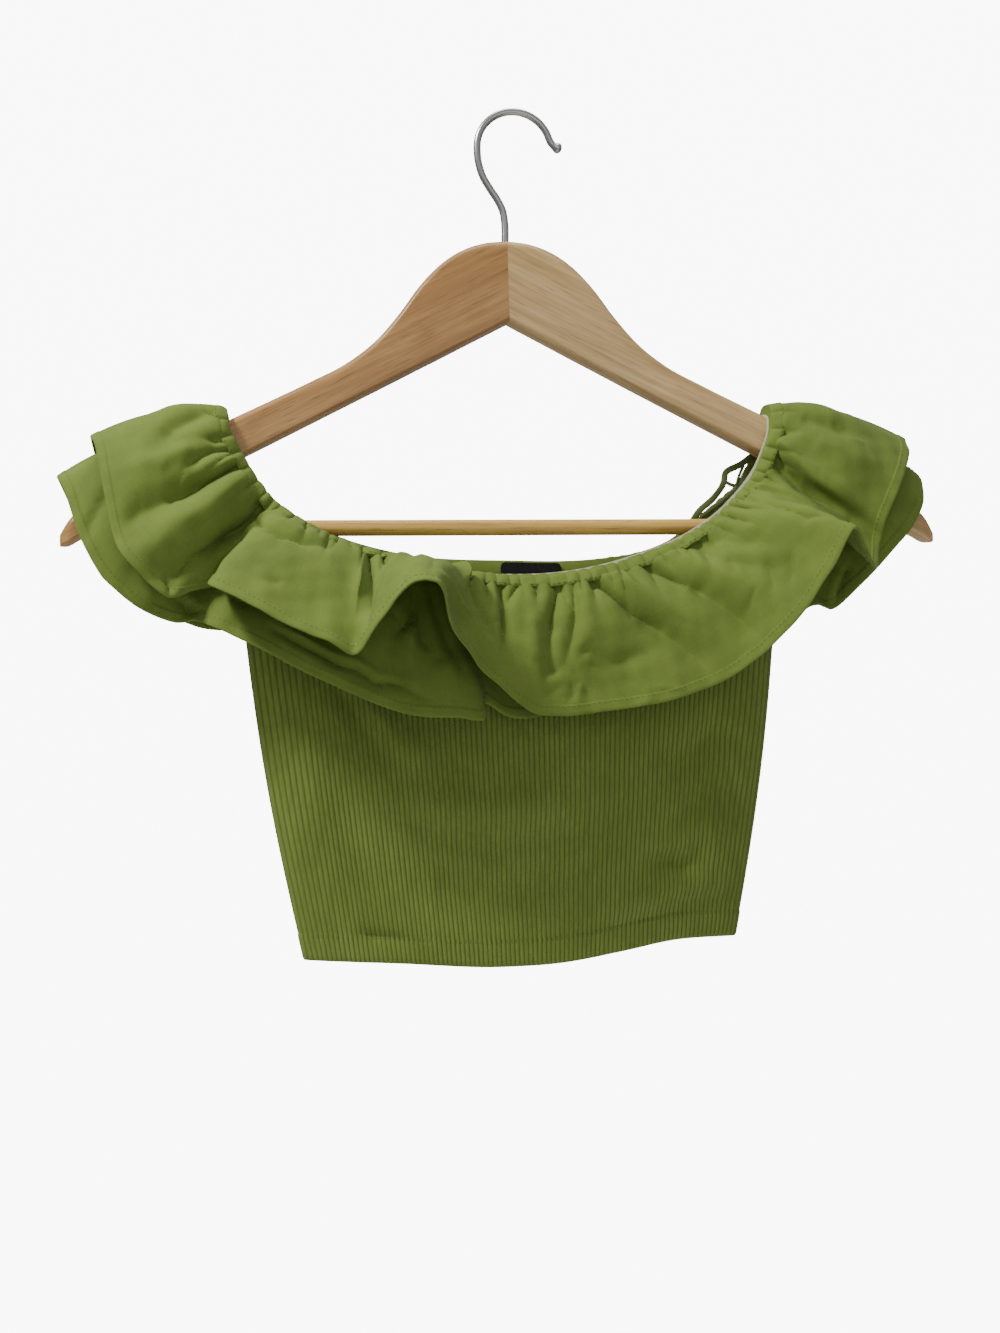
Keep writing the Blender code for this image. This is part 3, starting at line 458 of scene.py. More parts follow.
def cubic(knots, values, places):
    """Read a smooth curve that passes through each row of values at its knot."""
    knots = np.asarray(knots, float)
    values = np.asarray(values, float)
    steps = np.diff(knots)[:, None]
    chords = np.diff(values, axis=0) / steps
    slopes = np.empty_like(values)
    slopes[0] = chords[0]
    slopes[-1] = chords[-1]
    slopes[1:-1] = (chords[:-1] * steps[1:] + chords[1:] * steps[:-1]) / (steps[1:] + steps[:-1])
    places = np.clip(np.asarray(places, float), knots[0], knots[-1])
    span = np.clip(np.searchsorted(knots, places, side="right") - 1, 0, len(knots) - 2)
    width = steps[span]
    t = ((places - knots[span]) / width[:, 0])[:, None]
    start = (1 + 2 * t) * (1 - t) ** 2 * values[span] + t * (1 - t) ** 2 * width * slopes[span]
    end = t * t * (3 - 2 * t) * values[span + 1] + t * t * (t - 1) * width * slopes[span + 1]
    return start + end


def seam_loop(front, back):
    """The closed neckline seam: its rows once round, with a few repeated past each end."""
    rows = np.array(front + back[-2:0:-1])
    count = len(rows)
    rows = np.concatenate([rows[-LOOP_OVERLAP:], rows, rows[:LOOP_OVERLAP + 1]])
    knots = travelled(rows)
    knots = knots - knots[LOOP_OVERLAP]
    left = knots[LOOP_OVERLAP]
    right = knots[LOOP_OVERLAP + len(front) - 1]
    return rows, knots, right - left, knots[LOOP_OVERLAP + count] - right


def neck_points(facing, shares):
    """Points on the front or back seam at shares of its length, from the left shoulder."""
    rows, knots, front_length, back_length = seam_loop(NECK_FRONT, NECK_BACK)
    places = shares * front_length if facing < 0 else -shares * back_length
    whole = front_length + back_length
    places = np.where(places < knots[1], places + whole, places)
    return cubic(knots, rows, places)


def neck_frame(facing, shares):
    """Seam points, their outward normals and the way down from the seam, square to it."""
    points = neck_points(facing, shares)
    tangent = unit(neck_points(facing, shares + NECK_STEP) - neck_points(facing, shares - NECK_STEP))
    tangent[shares <= 0.0] = (0.0, facing, 0.0)
    tangent[shares >= 1.0] = (0.0, -facing, 0.0)
    turn = np.clip(np.minimum(shares, 1.0 - shares) / SEAM_TURN, 0.0, 1.0) * np.pi / 2
    out = np.stack([np.zeros_like(turn), facing * np.sin(turn), np.cos(turn)], axis=1)
    out = unit(out - tangent * np.sum(out * tangent, axis=1, keepdims=True))
    down = unit(np.cross(tangent, out)) * -facing
    return points, out, down


def neck_at_x(facing, x):
    """Seam points at given x, between the two steep stretches by the shoulders."""
    samples = neck_points(facing, np.linspace(STEEP_SHARE, 1 - STEEP_SHARE, NECK_SAMPLES))
    return np.stack([np.interp(x, samples[:, 0], samples[:, k]) for k in range(3)], axis=1)


class Tier:
    """One half of a ruffle tier, from the neckline seam to a hem that folds in space."""

    def __init__(self, facing, hem, offset):
        self.facing = facing
        table = np.array(hem, float)
        self.hem_shares = table[:, 0] / 1000
        self.hem_rows = table[:, 1:]
        self.offset = offset

    def points(self, shares, downs):
        """Points of the middle of the cloth. downs has a row and a column for each point."""
        seam, out, down = neck_frame(self.facing, shares)
        root = seam + out * self.offset
        rows = cubic(self.hem_shares, self.hem_rows, shares)
        hem = rows[:, :3]
        chord = hem - root
        reach = np.linalg.norm(chord, axis=1, keepdims=True)
        lean = np.arctan2(np.sum(chord * out, axis=1), np.sum(chord * down, axis=1))
        lean = (lean + np.radians(rows[:, 3]))[:, None]
        leaving = down * np.cos(lean) + out * np.sin(lean)
        falling = unit(chord / reach + (0.0, 0.0, -HEM_DROOP))
        first = root + leaving * reach * NECK_HANDLE
        last = hem - falling * reach * HEM_HANDLE
        v = downs[:, :, None]
        grid = root * (1 - v) ** 3 + first * 3 * v * (1 - v) ** 2
        grid = grid + last * 3 * v * v * (1 - v) + hem * v ** 3
        return grid + (0.0, self.facing * SEAM_GAP / 2, 0.0)

    def reach(self, shares):
        """Rough length of the cloth from the seam to the hem, in mm."""
        steps = np.linspace(0.0, 1.0, 13)[:, None] * np.ones_like(shares)
        grid = self.points(shares, steps)
        return np.sum(np.linalg.norm(np.diff(grid, axis=0), axis=2), axis=0)


class BodyPanel:
    """Front or back of the ribbed body, from the neckline and armholes to the hem."""

    def __init__(self, facing):
        self.facing = facing

    def top_edge(self, shares):
        """The neckline between the armholes, then each armhole's curve to the side seam."""
        x = SIDE_LEFT + (SIDE_RIGHT - SIDE_LEFT) * shares
        edge = neck_at_x(self.facing, np.clip(x, ARMHOLE_LEFT, ARMHOLE_RIGHT))
        left = np.clip((x - SIDE_LEFT) / (ARMHOLE_LEFT - SIDE_LEFT), 0.0, 1.0)
        right = np.clip((SIDE_RIGHT - x) / (SIDE_RIGHT - ARMHOLE_RIGHT), 0.0, 1.0)
        climb = np.minimum(left, right)
        edge[:, 0] = x
        edge[:, 1] *= np.sqrt(1 - (1 - climb) ** 2)
        edge[:, 2] = SIDE_TOP + (edge[:, 2] - SIDE_TOP) * climb ** ARMHOLE_SCOOP
        return edge

    def points(self, shares, downs):
        top = self.top_edge(shares)
        across = 2 * shares - 1
        hem_table = np.array(BODY_HEM)
        hem_x = HEM_LEFT + (HEM_RIGHT - HEM_LEFT) * shares
        hem_z = cubic(hem_table[:, 0], hem_table[:, 1:], hem_x)[:, 0]
        hem_y = self.facing * HEM_DEPTH * np.sqrt(1 - np.abs(across) ** HEM_SQUARENESS)
        hem = np.stack([hem_x, hem_y, hem_z], axis=1)
        v = downs[:, :, None]
        grid = top * (1 - v) + hem * v
        grid[:, :, 0] += SIDE_BULGE * np.sin(np.pi * v[:, :, 0]) * across
        grid[:, :, 1] += self.facing * SEAM_GAP / 2
        return grid

    def reach(self, shares):
        """Length of the panel from its upper edge to the hem, in mm."""
        ends = self.points(shares, np.array([[0.0], [1.0]]) * np.ones_like(shares))
        return np.linalg.norm(ends[1] - ends[0], axis=1)


def grid_normals(grid, facing, closed_ends=True):
    """Outward normals of a grid, square to Y where the two halves of a tube meet."""
    along = np.gradient(grid, axis=1)
    fall = np.gradient(grid, axis=0)
    normal = unit(np.cross(fall, along)) * -facing
    if closed_ends:
        normal[:, 0] = normal[:, 1]
        normal[:, -1] = normal[:, -2]
        normal[:, (0, -1), 1] = 0.0
    return unit(normal)


def cloth_run(grid, shares):
    """Length of cloth along the seam for each unit of share, at every point of a grid."""
    return np.linalg.norm(np.gradient(grid, axis=1), axis=2) / np.gradient(shares)


def placed(creases):
    """The creases with their paths turned from thousandths to shares of one."""
    return [(*row[:4], np.array(row[4]) / 1000) for row in creases]


def crease_field(shares, downs, along, fall, creases):
    """Sum of the creases' depths at each point of a grid, in mm."""
    total = np.zeros(downs.shape)
    for depth, start_width, end_width, sharpness, path in creases:
        spans = len(path) - 1
        nearest = np.full(downs.shape, np.inf)
        progress = np.zeros(downs.shape)
        for k in range(spans):
            (s0, v0), (s1, v1) = path[k], path[k + 1]
            px = (shares - s0) * along
            py = (downs - v0) * fall
            qx = (s1 - s0) * along
            qy = (v1 - v0) * fall
            t = np.clip((px * qx + py * qy) / (qx * qx + qy * qy + 1e-9), 0.0, 1.0)
            away = np.hypot(px - t * qx, py - t * qy)
            closer = away < nearest
            nearest = np.where(closer, away, nearest)
            progress = np.where(closer, (k + t) / spans, progress)
        width = start_width + (end_width - start_width) * progress
        scaled = nearest / width
        soft = np.exp(-scaled ** 2)
        sharp = np.exp(-1.5 * (np.sqrt(scaled ** 2 + 0.01) - 0.1))
        shape = soft + (sharp - soft) * sharpness
        fade = smooth(progress, -0.12, 0.12) * (1 - 0.75 * smooth(progress, 0.55, 1.0))
        total += depth * shape * fade
    return total


def ripple(points, wavelength, seed):
    """Soft uneven waves through space, between about -1 and 1."""
    source = np.random.default_rng(seed)
    total = np.zeros(points.shape[:-1])
    waves = 7
    for _ in range(waves):
        direction = unit(source.normal(size=3))
        length = wavelength * source.uniform(0.7, 1.5)
        total += np.sin(points @ direction * 2 * np.pi / length + source.uniform(0, 2 * np.pi))
    return total / np.sqrt(waves) * 0.7


def gather_table(seed, pitch_low, pitch_high, length):
    """Gathers along a seam: share, depth, width, reach down and drift, in uneven steps."""
    source = np.random.default_rng(seed)
    place = source.uniform(pitch_low, pitch_high) / 2
    rows = []
    while place < length - pitch_low / 2:
        deep = source.uniform(0.0, 1.0)
        rows.append((place / length, 0.5 + 0.5 * deep, source.uniform(0.75, 1.25),
                     0.14 + 0.34 * deep ** 2 + source.uniform(0.0, 0.10), source.normal() * 0.009))
        place += source.uniform(pitch_low, pitch_high)
    return rows


def gather_field(shares, downs, along, table):
    """Troughs of the gathers at each point: 0 on a ridge, 1 in the deepest trough."""
    total = np.zeros(downs.shape)
    for share, deep, width, reach, drift in table:
        centre = share + drift * downs / 0.3
        away = np.abs(shares - centre) * along
        wide = width * (1 + 3.0 * downs / 0.4)
        total += deep * np.exp(-(away / wide) ** 1.15) * (1 - smooth(downs, 0.3 * reach, reach))
    return np.minimum(total, 1.1)


def hold_above(lift, lowest):
    """Keep the lift above the lowest one that clears the layer below, with a soft turn."""
    return (lift + lowest + np.sqrt((lift - lowest) ** 2 + 0.25)) / 2


def wrinkle_table(seed, count, depth):
    """Small creases of worn cotton, in uneven places and directions."""
    source = np.random.default_rng(seed)
    rows = []
    for _ in range(count):
        share = source.uniform(0.03, 0.97)
        down = source.uniform(0.2, 0.9)
        lean = source.normal() * 0.018
        drop = source.uniform(0.08, 0.3)
        bend = source.normal() * 0.006
        size = depth * source.uniform(0.5, 1.0) * (-1 if source.uniform() < 0.65 else 1)
        widths = (source.uniform(1.4, 2.6), source.uniform(2.4, 5.0))
        sharpness = source.uniform(0.2, 0.8)
        path = ((share, down), (share + lean / 2 + bend, down + drop / 2), (share + lean, down + drop))
        rows.append((size, *widths, sharpness, path))
    return rows


def link(name, points, faces, uv, material, extra_uv=None):
    """Make a smooth-shaded mesh object from points in mm and quads or triangles."""
    points = np.asarray(points, float)
    mesh = bpy.data.meshes.new(name)
    placed = (points + (CENTRE_X, 0.0, 0.0)) * MM
    mesh.from_pydata(placed.tolist(), [], [tuple(f) for f in faces])
    mesh.update()
    corners = np.empty(len(mesh.loops), dtype=np.int64)
    mesh.loops.foreach_get("vertex_index", corners)
    for layer_name, values in (("cut", uv), ("detail", extra_uv)):
        if values is not None:
            layer = mesh.uv_layers.new(name=layer_name)
            layer.data.foreach_set("uv", np.asarray(values, float)[corners].ravel())
    mesh.shade_smooth()
    mesh.set_sharp_from_angle(angle=SHARP_ANGLE)
    mesh.materials.append(material)
    made = bpy.data.objects.new(name, mesh)
    bpy.context.scene.collection.objects.link(made)
    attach(made, "root")
    return made


def signed_volume(points, faces):
    """Six times the volume that the faces close in, below 0 where they face inwards."""
    corners = points[np.asarray(faces)]
    first = np.sum(corners[:, 0] * np.cross(corners[:, 1], corners[:, 2]))
    second = np.sum(corners[:, 0] * np.cross(corners[:, 2], corners[:, 3]))
    return first + second


def shell(name, outer, inner, uv, material, extra_uv=None):
    """Close the space between two equal grids."""
    rows, columns, _ = outer.shape
    base = rows * columns
    index = np.arange(base).reshape(rows, columns)
    a, b = index[:-1, :-1].ravel(), index[:-1, 1:].ravel()
    c, d = index[1:, 1:].ravel(), index[1:, :-1].ravel()
    faces = [np.stack([a, b, c, d], axis=1), np.stack([a, d, c, b], axis=1) + base]
    for edge in (index[0, ::-1], index[-1], index[:, 0], index[::-1, -1]):
        faces.append(np.stack([edge[:-1], edge[1:], edge[1:] + base, edge[:-1] + base], axis=1))
    faces = np.concatenate(faces)
    points = np.concatenate([outer.reshape(-1, 3), inner.reshape(-1, 3)])
    if signed_volume(points, faces) < 0:
        faces = faces[:, ::-1]
    flat = uv.reshape(-1, 2)
    both = np.concatenate([flat, flat])
    more = None if extra_uv is None else np.concatenate([extra_uv.reshape(-1, 2)] * 2)
    return link(name, points, faces.tolist(), both, material, more)


def loop_round(name, halves, material):
    """Join the front and back halves of a band, each with its cut, into one closed loop."""
    (front, front_uv), (back, back_uv) = halves
    stations = np.concatenate([front, back[::-1]])
    return tube(name, stations, np.concatenate([front_uv, back_uv[::-1]]), material, closed=True)


def tube(name, stations, uv, material, closed=False):
    """Join equal sections into a loop, or into a rod with capped ends."""
    count, sides, _ = stations.shape
    index = np.arange(count * sides).reshape(count, sides)
    following = np.roll(index, -1, axis=0) if closed else index[1:]
    here = index if closed else index[:-1]
    side_here = np.roll(here, -1, axis=1)
    side_following = np.roll(following, -1, axis=1)
    faces = np.stack([here, following, side_following, side_here], axis=-1).reshape(-1, 4)
    points = stations.reshape(-1, 3)
    if signed_volume(points, faces) < 0:
        faces = faces[:, ::-1]
    faces = faces.tolist()
    if not closed:
        ends = [index[0].tolist(), index[-1][::-1].tolist()]
        middle = stations.mean(axis=(0, 1))
        for ring in ends:
            corner = points[ring]
            normal = np.sum(np.cross(corner, np.roll(corner, -1, axis=0)), axis=0)
            if normal @ (corner.mean(axis=0) - middle) < 0:
                ring = ring[::-1]
            faces.append(ring)
    return link(name, points, faces, uv.reshape(-1, 2), material)


def rod_faces(first, rings, sides):
    """Faces round a rod whose rings of points follow one another, and its two end caps."""
    faces = []
    for here in range(first, first + (rings - 1) * sides, sides):
        for k in range(sides):
            m = (k + 1) % sides
            faces.append((here + k, here + sides + k, here + sides + m, here + m))
    last = first + (rings - 1) * sides
    faces.append(tuple(range(first, first + sides)))
    faces.append(tuple(range(last, last + sides))[::-1])
    return faces


def stitches(name, runs, material, length=1.7, gap=1.0, radius=0.22):
    """Short threads that lie along lines on the cloth. Each run is points and outward normals."""
    points = []
    faces = []
    turns = circle(THREAD_SIDES)
    for line, normal in runs:
        knots = travelled(line)
        for start in np.arange(gap, knots[-1] - length, length + gap):
            places = start + length * THREAD_PLACES
            centre = np.stack([np.interp(places, knots, line[:, k]) for k in range(3)], axis=1)
            up = unit(np.stack([np.interp(places, knots, normal[:, k]) for k in range(3)], axis=1))
            run = unit(np.gradient(centre, axis=0))
            side = unit(np.cross(run, up))
            faces += rod_faces(len(points), len(places), THREAD_SIDES)
            for i, (lift, thickness) in enumerate(zip(THREAD_LIFTS, THREAD_THICKNESS)):
                ring = centre[i] + up[i] * lift
                for turn in turns:
                    out = side[i] * np.cos(turn) + up[i] * np.sin(turn)
                    points.append(ring + out * (thickness * radius))
    points = np.array(points)
    return link(name, points, faces, points[:, (0, 2)] * MM, material)


# Materials


def new_material(name):
    """An empty node material with its Principled shader."""
    made = bpy.data.materials.new(name)
    made.use_nodes = True
    return made, made.node_tree, made.node_tree.nodes["Principled BSDF"]


def feed(tree, socket, value):
    """Link a socket to another one, or set its constant."""
    if isinstance(value, bpy.types.NodeSocket):
        tree.links.new(value, socket)
    else:
        socket.default_value = value


def node(tree, kind, **values):
    """Add a node and set its properties and inputs by name."""
    made = tree.nodes.new(kind)
    for key, value in values.items():
        if key in made.inputs.keys():
            feed(tree, made.inputs[key], value)
        else:
            setattr(made, key, value)
    return made


def dress(tree, shader, values):
    """Feed the shader's inputs by name, each with a socket or a constant."""
    for name, value in values.items():
        feed(tree, shader.inputs[name], value)


def coordinates(tree, layer, scale, rotation=(0, 0, 0)):
    """Scaled coordinates from a UV layer, or from the object where layer is None."""
    if layer is None:
        source = node(tree, "ShaderNodeTexCoord").outputs["Object"]
    else:
        source = node(tree, "ShaderNodeUVMap", uv_map=layer).outputs["UV"]
    turned = node(tree, "ShaderNodeMapping", Vector=source, Rotation=rotation).outputs["Vector"]
    return node(tree, "ShaderNodeMapping", Vector=turned, Scale=scale).outputs["Vector"]


def noise(tree, vector, scale, detail=3.0, rough=0.55, distortion=0.0):
    """A noise value around one half."""
    made = node(tree, "ShaderNodeTexNoise", Vector=vector, Scale=scale, Detail=detail,
                Roughness=rough, Distortion=distortion)
    return made.outputs["Fac"]


def ramp(tree, value, stops):
    """Turn a value into a colour by stops of position and colour, or position and grey."""
    made = node(tree, "ShaderNodeValToRGB")
    elements = made.color_ramp.elements
    while len(elements) < len(stops):
        elements.new(0.5)
    for element, (place, colour) in zip(elements, stops):
        element.position = place
        element.color = (colour, colour, colour, 1.0) if isinstance(colour, float) else (*colour, 1.0)
    tree.links.new(value, made.inputs["Fac"])
    return made.outputs["Color"]


def maths(tree, operation, first, second):
    """One arithmetic step on values or sockets."""
    made = node(tree, "ShaderNodeMath", operation=operation)
    feed(tree, made.inputs[0], first)
    feed(tree, made.inputs[1], second)
    return made.outputs["Value"]


def mix(tree, blend, factor, first, second):
    """Blend two colours."""
    made = node(tree, "ShaderNodeMix", data_type="RGBA", blend_type=blend)
    for place, value in ((0, factor), (6, first), (7, second)):
        feed(tree, made.inputs[place], value)
    return made.outputs[2]


def bump(tree, height, strength, distance, under=None):
    """A bump normal, laid over another one if given."""
    made = node(tree, "ShaderNodeBump", Height=height, Strength=strength, Distance=distance)
    if under is not None:
        tree.links.new(under, made.inputs["Normal"])
    return made.outputs["Normal"]


def thread_waves(tree, vector, scale, direction, distortion):
    """Fine parallel threads in one direction."""
    made = node(tree, "ShaderNodeTexWave", wave_type="BANDS", bands_direction=direction, Vector=vector,
                Scale=scale, Distortion=distortion, Detail=1.5)
    made.inputs["Detail Scale"].default_value = 1.2
    return made.outputs["Fac"]


def cotton(name, deep, middle, light):
    """Plain-woven cotton: mottled dye, slubs in both directions and a fine weave."""
    made, tree, shader = new_material(name)
    cut = coordinates(tree, "cut", (1, 1, 1))
    broad = noise(tree, cut, 26, 4, 0.6)
    dye = ramp(tree, broad, ((0.3, deep), (0.52, middle), (0.75, light)))
    slub_down = noise(tree, coordinates(tree, "cut", (900, 60, 1)), 1.0, 2, 0.6)
    slub_across = noise(tree, coordinates(tree, "cut", (60, 900, 1)), 1.0, 2, 0.6)
    slubs = maths(tree, "MULTIPLY", slub_down, slub_across)
    flecks = ramp(tree, slubs, ((0.12, (0.95, 0.95, 0.94)), (0.38, (1.04, 1.04, 1.04))))
    base = mix(tree, "MULTIPLY", 0.8, dye, flecks)
    weave = maths(tree, "ADD", thread_waves(tree, cut, 640, "X", 1.0),
                  thread_waves(tree, cut, 640, "Y", 1.0))
    crinkle = noise(tree, cut, 160, 4, 0.6)
    lifted = bump(tree, weave, 0.25, 0.0001)
    lifted = bump(tree, slubs, 0.25, 0.0002, lifted)
    lifted = bump(tree, crinkle, 0.3, 0.0005, lifted)
    rough = ramp(tree, broad, ((0.3, 0.78), (0.7, 0.9)))
    dress(tree, shader, {"Base Color": base, "Normal": lifted, "Roughness": rough, "Sheen Weight": SHEEN,
                         "Sheen Roughness": 0.5, "Specular IOR Level": 0.25})
    return made


def rib_knit(name, painted_groove_shade, deep, middle, light):
    """Rib jersey: painted shade that darkens the grooves, small stitches along each rib and a soft mottle.
    """
    made, tree, shader = new_material(name)
    cut = coordinates(tree, "cut", (1, 1, 1))
    detail = node(tree, "ShaderNodeUVMap", uv_map="detail").outputs["UV"]
    split = node(tree, "ShaderNodeSeparateXYZ")
    tree.links.new(detail, split.inputs["Vector"])
    across = maths(tree, "MULTIPLY", split.outputs["X"], 2 * np.pi)
    crest = maths(tree, "SINE", maths(tree, "SUBTRACT", across, np.pi / 2), 0.0)
    crest = maths(tree, "ADD", maths(tree, "MULTIPLY", crest, 0.5), 0.5)
    broad = noise(tree, cut, 18, 4, 0.6)
    dye = ramp(tree, broad, ((0.3, deep), (0.52, middle), (0.75, light)))
    worn = noise(tree, coordinates(tree, "cut", (420, 90, 1)), 1.0, 3, 0.7)
    flecks = ramp(tree, worn, ((0.3, (0.82, 0.82, 0.8)), (0.7, (1.12, 1.12, 1.1))))
    dye = mix(tree, "MULTIPLY", 0.8, dye, flecks)
    # Painted shade: the colour turns to the darker groove colour between the ribs, where shade falls.
    shade = ramp(tree, crest, ((0.0, 0.0), (0.45, 1.0)))
    base = mix(tree, "MIX", shade, (*painted_groove_shade, 1.0), dye)
    loops = thread_waves(tree, cut, 330, "Y", 2.0)
    lifted = bump(tree, loops, 0.4, 0.0002)
    lifted = bump(tree, worn, 0.4, 0.0003, lifted)
    dress(tree, shader, {"Base Color": base, "Normal": lifted, "Roughness": 0.9, "Sheen Weight": SHEEN,
                         "Specular IOR Level": 0.2})
    return made


def plain_threads(name, deep, light, scale, height):
    """Trim in one colour with fine cross threads."""
    made, tree, shader = new_material(name)
    cut = coordinates(tree, "cut", (1, 1, 1))
    mottle = noise(tree, cut, scale / 3, 3, 0.6)
    threads = maths(tree, "ADD", thread_waves(tree, cut, scale, "X", 0.8),
                    thread_waves(tree, cut, scale, "Y", 0.8))
    dress(tree, shader, {"Base Color": ramp(tree, mottle, ((0.3, deep), (0.7, light))),
                         "Normal": bump(tree, threads, 0.5, height), "Roughness": 0.8,
                         "Specular IOR Level": 0.3})
    return made


def wood(name, tilt, dark, middle, light, pore):
    """Varnished wood: long grain along the arm, fine pores and uneven gloss."""
    made, tree, shader = new_material(name)
    turn = (0, tilt, 0)
    bands = noise(tree, coordinates(tree, None, (7, 40, 70), turn), 1.0, 4, 0.62, 1.1)
    streaks = noise(tree, coordinates(tree, None, (10, 260, 420), turn), 1.0, 3, 0.6, 0.4)
    pores = noise(tree, coordinates(tree, None, (60, 900, 1500), turn), 1.0, 2, 0.5)
    base = ramp(tree, bands, ((0.25, dark), (0.5, middle), (0.74, light)))
    fine = ramp(tree, streaks, ((0.3, (0.72, 0.68, 0.62)), (0.65, (1.1, 1.1, 1.1))))
    base = mix(tree, "MULTIPLY", 0.9, base, fine)
    pits = ramp(tree, pores, ((0.3, 1.0), (0.4, 0.0)))
    base = mix(tree, "MIX", maths(tree, "MULTIPLY", pits, 0.6), base, (*pore, 1.0))
    lifted = bump(tree, streaks, 0.18, 0.0004)
    lifted = bump(tree, pores, 0.12, 0.0002, lifted)
    gloss = ramp(tree, bands, ((0.3, 0.34), (0.7, 0.46)))
    dress(tree, shader, {"Base Color": base, "Normal": lifted, "Roughness": gloss, "Coat Weight": 0.25,
                         "Coat Roughness": 0.25})
    return made


def steel(name):
    """Bright drawn wire with faint lengthwise lines."""
    made, tree, shader = new_material(name)
    lines = noise(tree, coordinates(tree, "cut", (30, 2400, 1)), 1.0, 3, 0.6)
    colour = ramp(tree, lines, ((0.3, (0.36, 0.36, 0.35)), (0.7, (0.56, 0.56, 0.55))))
    rough = ramp(tree, lines, ((0.3, 0.24), (0.7, 0.36)))
    dress(tree, shader, {"Base Color": colour, "Normal": bump(tree, lines, 0.15, 0.00006),
                         "Roughness": rough, "Metallic": 1.0})
    return made


# Cloth pieces


def band_downs(reach, rows, columns, start=0.0):
    """Rows of down values that lie close together at the hem band's edge in each column."""
    edge = 1 - HEM_BAND / reach
    plain_rows = rows - 9
    upper = np.linspace(start, 1.0, plain_rows)[:, None] ** 1.15 * (edge - 0.004)
    lower = np.array((0.0, 0.08, 0.16, 0.32, 0.5, 0.66, 0.8, 0.92, 1.0))[:, None]
    return np.concatenate([upper, edge + (1 - edge) * lower])


def ruffle(name, tier, size, table, creases, wrinkles, puff, room, width, material, seed):
    """A ruffle half with its gathers, listed creases, wrinkles and a turned hem."""
    columns, rows = size
    shares = spread(columns, COLUMN_CROWDING)
    reach = tier.reach(shares)
    downs = band_downs(reach, rows, columns)
    base = tier.points(shares, downs)
    along = cloth_run(base, shares)
    fall = reach * np.ones_like(downs)
    ends = off_ends(shares, 0.02)
    swell = puff * smooth(downs, 0.02, 0.09) * (1 - smooth(downs, 0.25, 0.95))
    lift = swell * (1 - gather_field(shares, downs, along, table))
    away = smooth(downs, 0.03, 0.09)
    lift = lift + crease_field(shares, downs, along, fall, placed(creases)) * CREASE_DEPTH * away
    lift = lift + crease_field(shares, downs, along, fall, wrinkles) * away
    lift = lift + ripple(base, 34.0, seed) * 1.0 * smooth(downs, 0.15, 0.5)
    lift = lift + ripple(base, 13.0, seed + 1) * 0.3 * smooth(downs, 0.1, 0.3)
    lift = hold_above(lift, -(room[0] + room[1] * downs)) * smooth(downs, 0.0, 0.04)
    normal = grid_normals(base, tier.facing)
    middle = base + normal * (lift * ends)[:, :, None]
    normal = grid_normals(middle, tier.facing)
    band = smooth(downs, 1 - HEM_BAND / reach - 0.001, 1 - (HEM_BAND - 0.8) / reach)
    roll = smooth((1 - downs) * reach, 0.0, 0.9)
    thick = (RUFFLE_WALL / 2 + BAND_EXTRA * band) * (0.45 + 0.55 * roll)
    outer = middle + normal * thick[:, :, None]
    inner = middle - normal * thick[:, :, None]
    uv = np.stack([shares * width * np.ones_like(downs), -downs * reach * MM], axis=2)
    made = shell(name, outer, inner, uv, material)
    rows_at = np.argmin(np.abs((1 - downs) * reach - (HEM_BAND - 1.1)), axis=0)
    picks = np.arange(columns + 1)
    runs = [(outer[rows_at, picks], normal[rows_at, picks]),
            (inner[rows_at, picks], -normal[rows_at, picks])]
    return made, runs


def casing(name, halves, tables, material):
    """The gathered channel over the elastic, all round, and the line of its stitching."""
    sections = []
    runs = []
    for tier, table in zip(halves, tables):
        shares = spread(CASING_COLUMNS, COLUMN_CROWDING)
        length = tier.reach(shares)
        low = CASING_DEPTH / length
        levels = np.array((0.0, 0.09, 0.2, 0.34, 0.5, 0.66, 0.82, 0.94, 1.06))
        downs = levels[:, None] * low
        base = tier.points(shares, downs)
        normal = grid_normals(base, tier.facing)
        along = cloth_run(base, shares)
        trough = gather_field(shares, np.full(downs.shape, 0.02), along, table)
        ends = off_ends(shares, 0.015)
        full = np.array((0.4, 1.1, 1.5, 1.75, 1.85, 1.9, 1.85, 1.75, 1.3))[:, None]
        sway = ripple(base, 8.0, 41) * 0.2
        height = 0.7 + full * (1.0 - 0.95 * trough + sway) * (0.4 + 0.6 * ends)
        outer = base + normal * np.maximum(height, 0.66)[:, :, None]
        rise = (0.9 * (1 - trough[0]) + 0.25 * ripple(base[0], 6.0, 43)) * ends
        outer[0] += (0.0, 0.0, 1.0) * rise[:, None]
        inner = base + normal * 0.62
        section = np.concatenate([inner[:1], inner[-1:], outer[::-1]])
        half = np.swapaxes(section, 0, 1)
        places = np.concatenate(([0.0, 1.0], levels[::-1])) * low[0] * TIER_REACH
        half_uv = np.stack([shares[:, None] * CASING_CUT[0] / 2 * np.ones(len(places)),
                            -places[None] * MM * np.ones((len(shares), 1))], axis=2)
        sections.append((half, half_uv))
        seam_out = normal[CASING_SEAM_ROW]
        runs.append((outer[CASING_SEAM_ROW] + seam_out * 0.02, seam_out))
    return loop_round(name, sections, material), runs


def neck_loop(name, columns, section, length, material):
    """Sweep a section round the neckline. It is given as down, out and a place across the cut."""
    sections = []
    for facing in (-1, 1):
        shares = spread(columns, LOOP_CROWDING)
        seam, out, down = neck_frame(facing, shares)
        seam = seam + (0.0, facing * SEAM_GAP / 2, 0.0)
        corners = section(facing, shares)
        half = np.stack([seam + down * fall[:, None] + out * lift[:, None]
                         for fall, lift, _ in corners], axis=1)
        run = shares[:, None] * length / 2 * np.ones(len(corners))
        drop = np.stack([place * np.ones_like(shares) for _, _, place in corners], axis=1)
        sections.append((half, np.stack([run, drop], axis=2)))
    return loop_round(name, sections, material)


